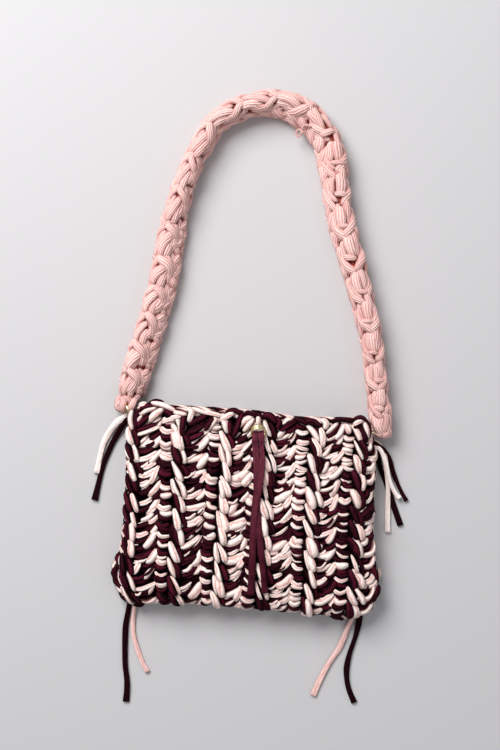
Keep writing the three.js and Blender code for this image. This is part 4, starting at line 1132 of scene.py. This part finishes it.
# One loose yarn: a rolled strip with furrows down its length, carried along a smooth way and cut square.
# Half width and half height = their own * (1 + wave * a slow noise).
def looseEnd(points, halfWidth, rng):
    rows = np.array(points, float)
    length = np.linalg.norm(np.diff(rows, axis=0), axis=1).sum()
    steps = max(looseYarn["leastSteps"], int(length / looseYarn["stepLong"]))
    way = wayMatrix(len(rows), steps) @ rows
    slow = wayMatrix(looseYarn["slowPlaces"], steps) @ rng.normal(0, 1, (looseYarn["slowPlaces"], 3))
    root = np.interp(np.arange(steps), [0, looseYarn["rootSteps"]], [looseYarn["rootWidth"], 1])
    wide = halfWidth * (1 + looseYarn["widthWave"] * slow[:, 0]) * root
    wide[-len(looseYarn["cutWidths"]):] *= looseYarn["cutWidths"]
    high = looseYarn["halfHeight"] * (1 + looseYarn["heightWave"] * slow[:, 1])
    way[:, 2] = np.maximum(way[:, 2], 0) + high
    up = np.tile((0.0, 0.0, 1.0), (steps, 1))
    up[:, 0] = looseYarn["lean"] * slow[:, 2]
    section = yarnSection(looseYarn["sides"], looseYarn["furrows"], looseYarn["furrowDepth"])
    return sweep(way[None], up[None], wide[None], high[None], section) * mm


# The ends at each corner, in one piece for each yarn, and the tie.
def makeLooseYarn():
    rng = np.random.default_rng(61)
    for node, ends in tailRows.items():
        # The upper ends take the paler blush: painted light.
        finish = {"blush": paleLoose if "top" in node else looseBlush, "maroon": looseMaroon}
        for colour in ("blush", "maroon"):
            strands = [looseEnd(points, half, rng) for tint, half, points in ends if tint == colour]
            settle(yarnObject(node + "_" + colour, strands, finish[colour], 7), colour + "_yarn", node)
    strands = [looseEnd(points, looseYarn["tieHalfWidth"], rng) for points in tieRows]
    tie = settle(yarnObject("tie_yarn", strands, tieMaroon, 8), "maroon_yarn", "tie")
    # Painted light and shade on the tie: tone by height, lighter at its top and darker towards its lower
    # ends.
    places = np.empty(3 * len(tie.data.vertices), np.float32)
    tie.data.vertices.foreach_get("co", places)
    tone = np.interp(places[1::3], np.array(looseYarn["tieDark"]) * mm, looseYarn["tieTone"])
    tie.data.attributes["tone"].data.foreach_set("value", tone.astype(np.float32))


makeLooseYarn()
print("loose yarn laid")

# Split rings: a flat wire wound twice round, in millimetres.

ring = {"radius": 6.6, "wire": 0.9, "width": 1.5, "turns": 1.96, "rise": 2.9,
        "start": 0.4, "steps": 110, "sides": 10}
ringRows = [  # node, centre, and the two directions of its plane
    ("strap_ring_left", (-119.5, 98.5, 14.5), (0.451, -0.892, 0), (0, 0, 1)),
    ("strap_ring_right", (126.5, 77, 14), (-0.998, 0.06, 0), (0, 0, 1)),
    ("tie_ring", (10, 77, 41.0), (1, 0, 0), (0, 0.66, 0.75)),
]


# Point = centre + radius * (cos turn, sin turn) in the ring's plane, with a small rise each turn.
def makeRings():
    for node, centre, first, second in ringRows:
        first, second = np.array(first), np.array(second)
        axis = np.cross(first, second)
        turn = np.linspace(ring["start"], ring["start"] + 2 * np.pi * ring["turns"], ring["steps"])
        outward = np.cos(turn)[:, None] * first + np.sin(turn)[:, None] * second
        rise = ring["rise"] * ((turn - turn[0]) / (2 * np.pi) - ring["turns"] / 2)
        way = np.array(centre) + ring["radius"] * outward + rise[:, None] * axis
        size = np.ones((1, len(turn)))
        section = yarnSection(ring["sides"])
        points = sweep(way[None], outward[None], ring["width"] * size, ring["wire"] * size, section) * mm
        settle(yarnObject(node + "_wire", [points], paleGold, 9), "gold_wire", node)


makeRings()
print("rings set")
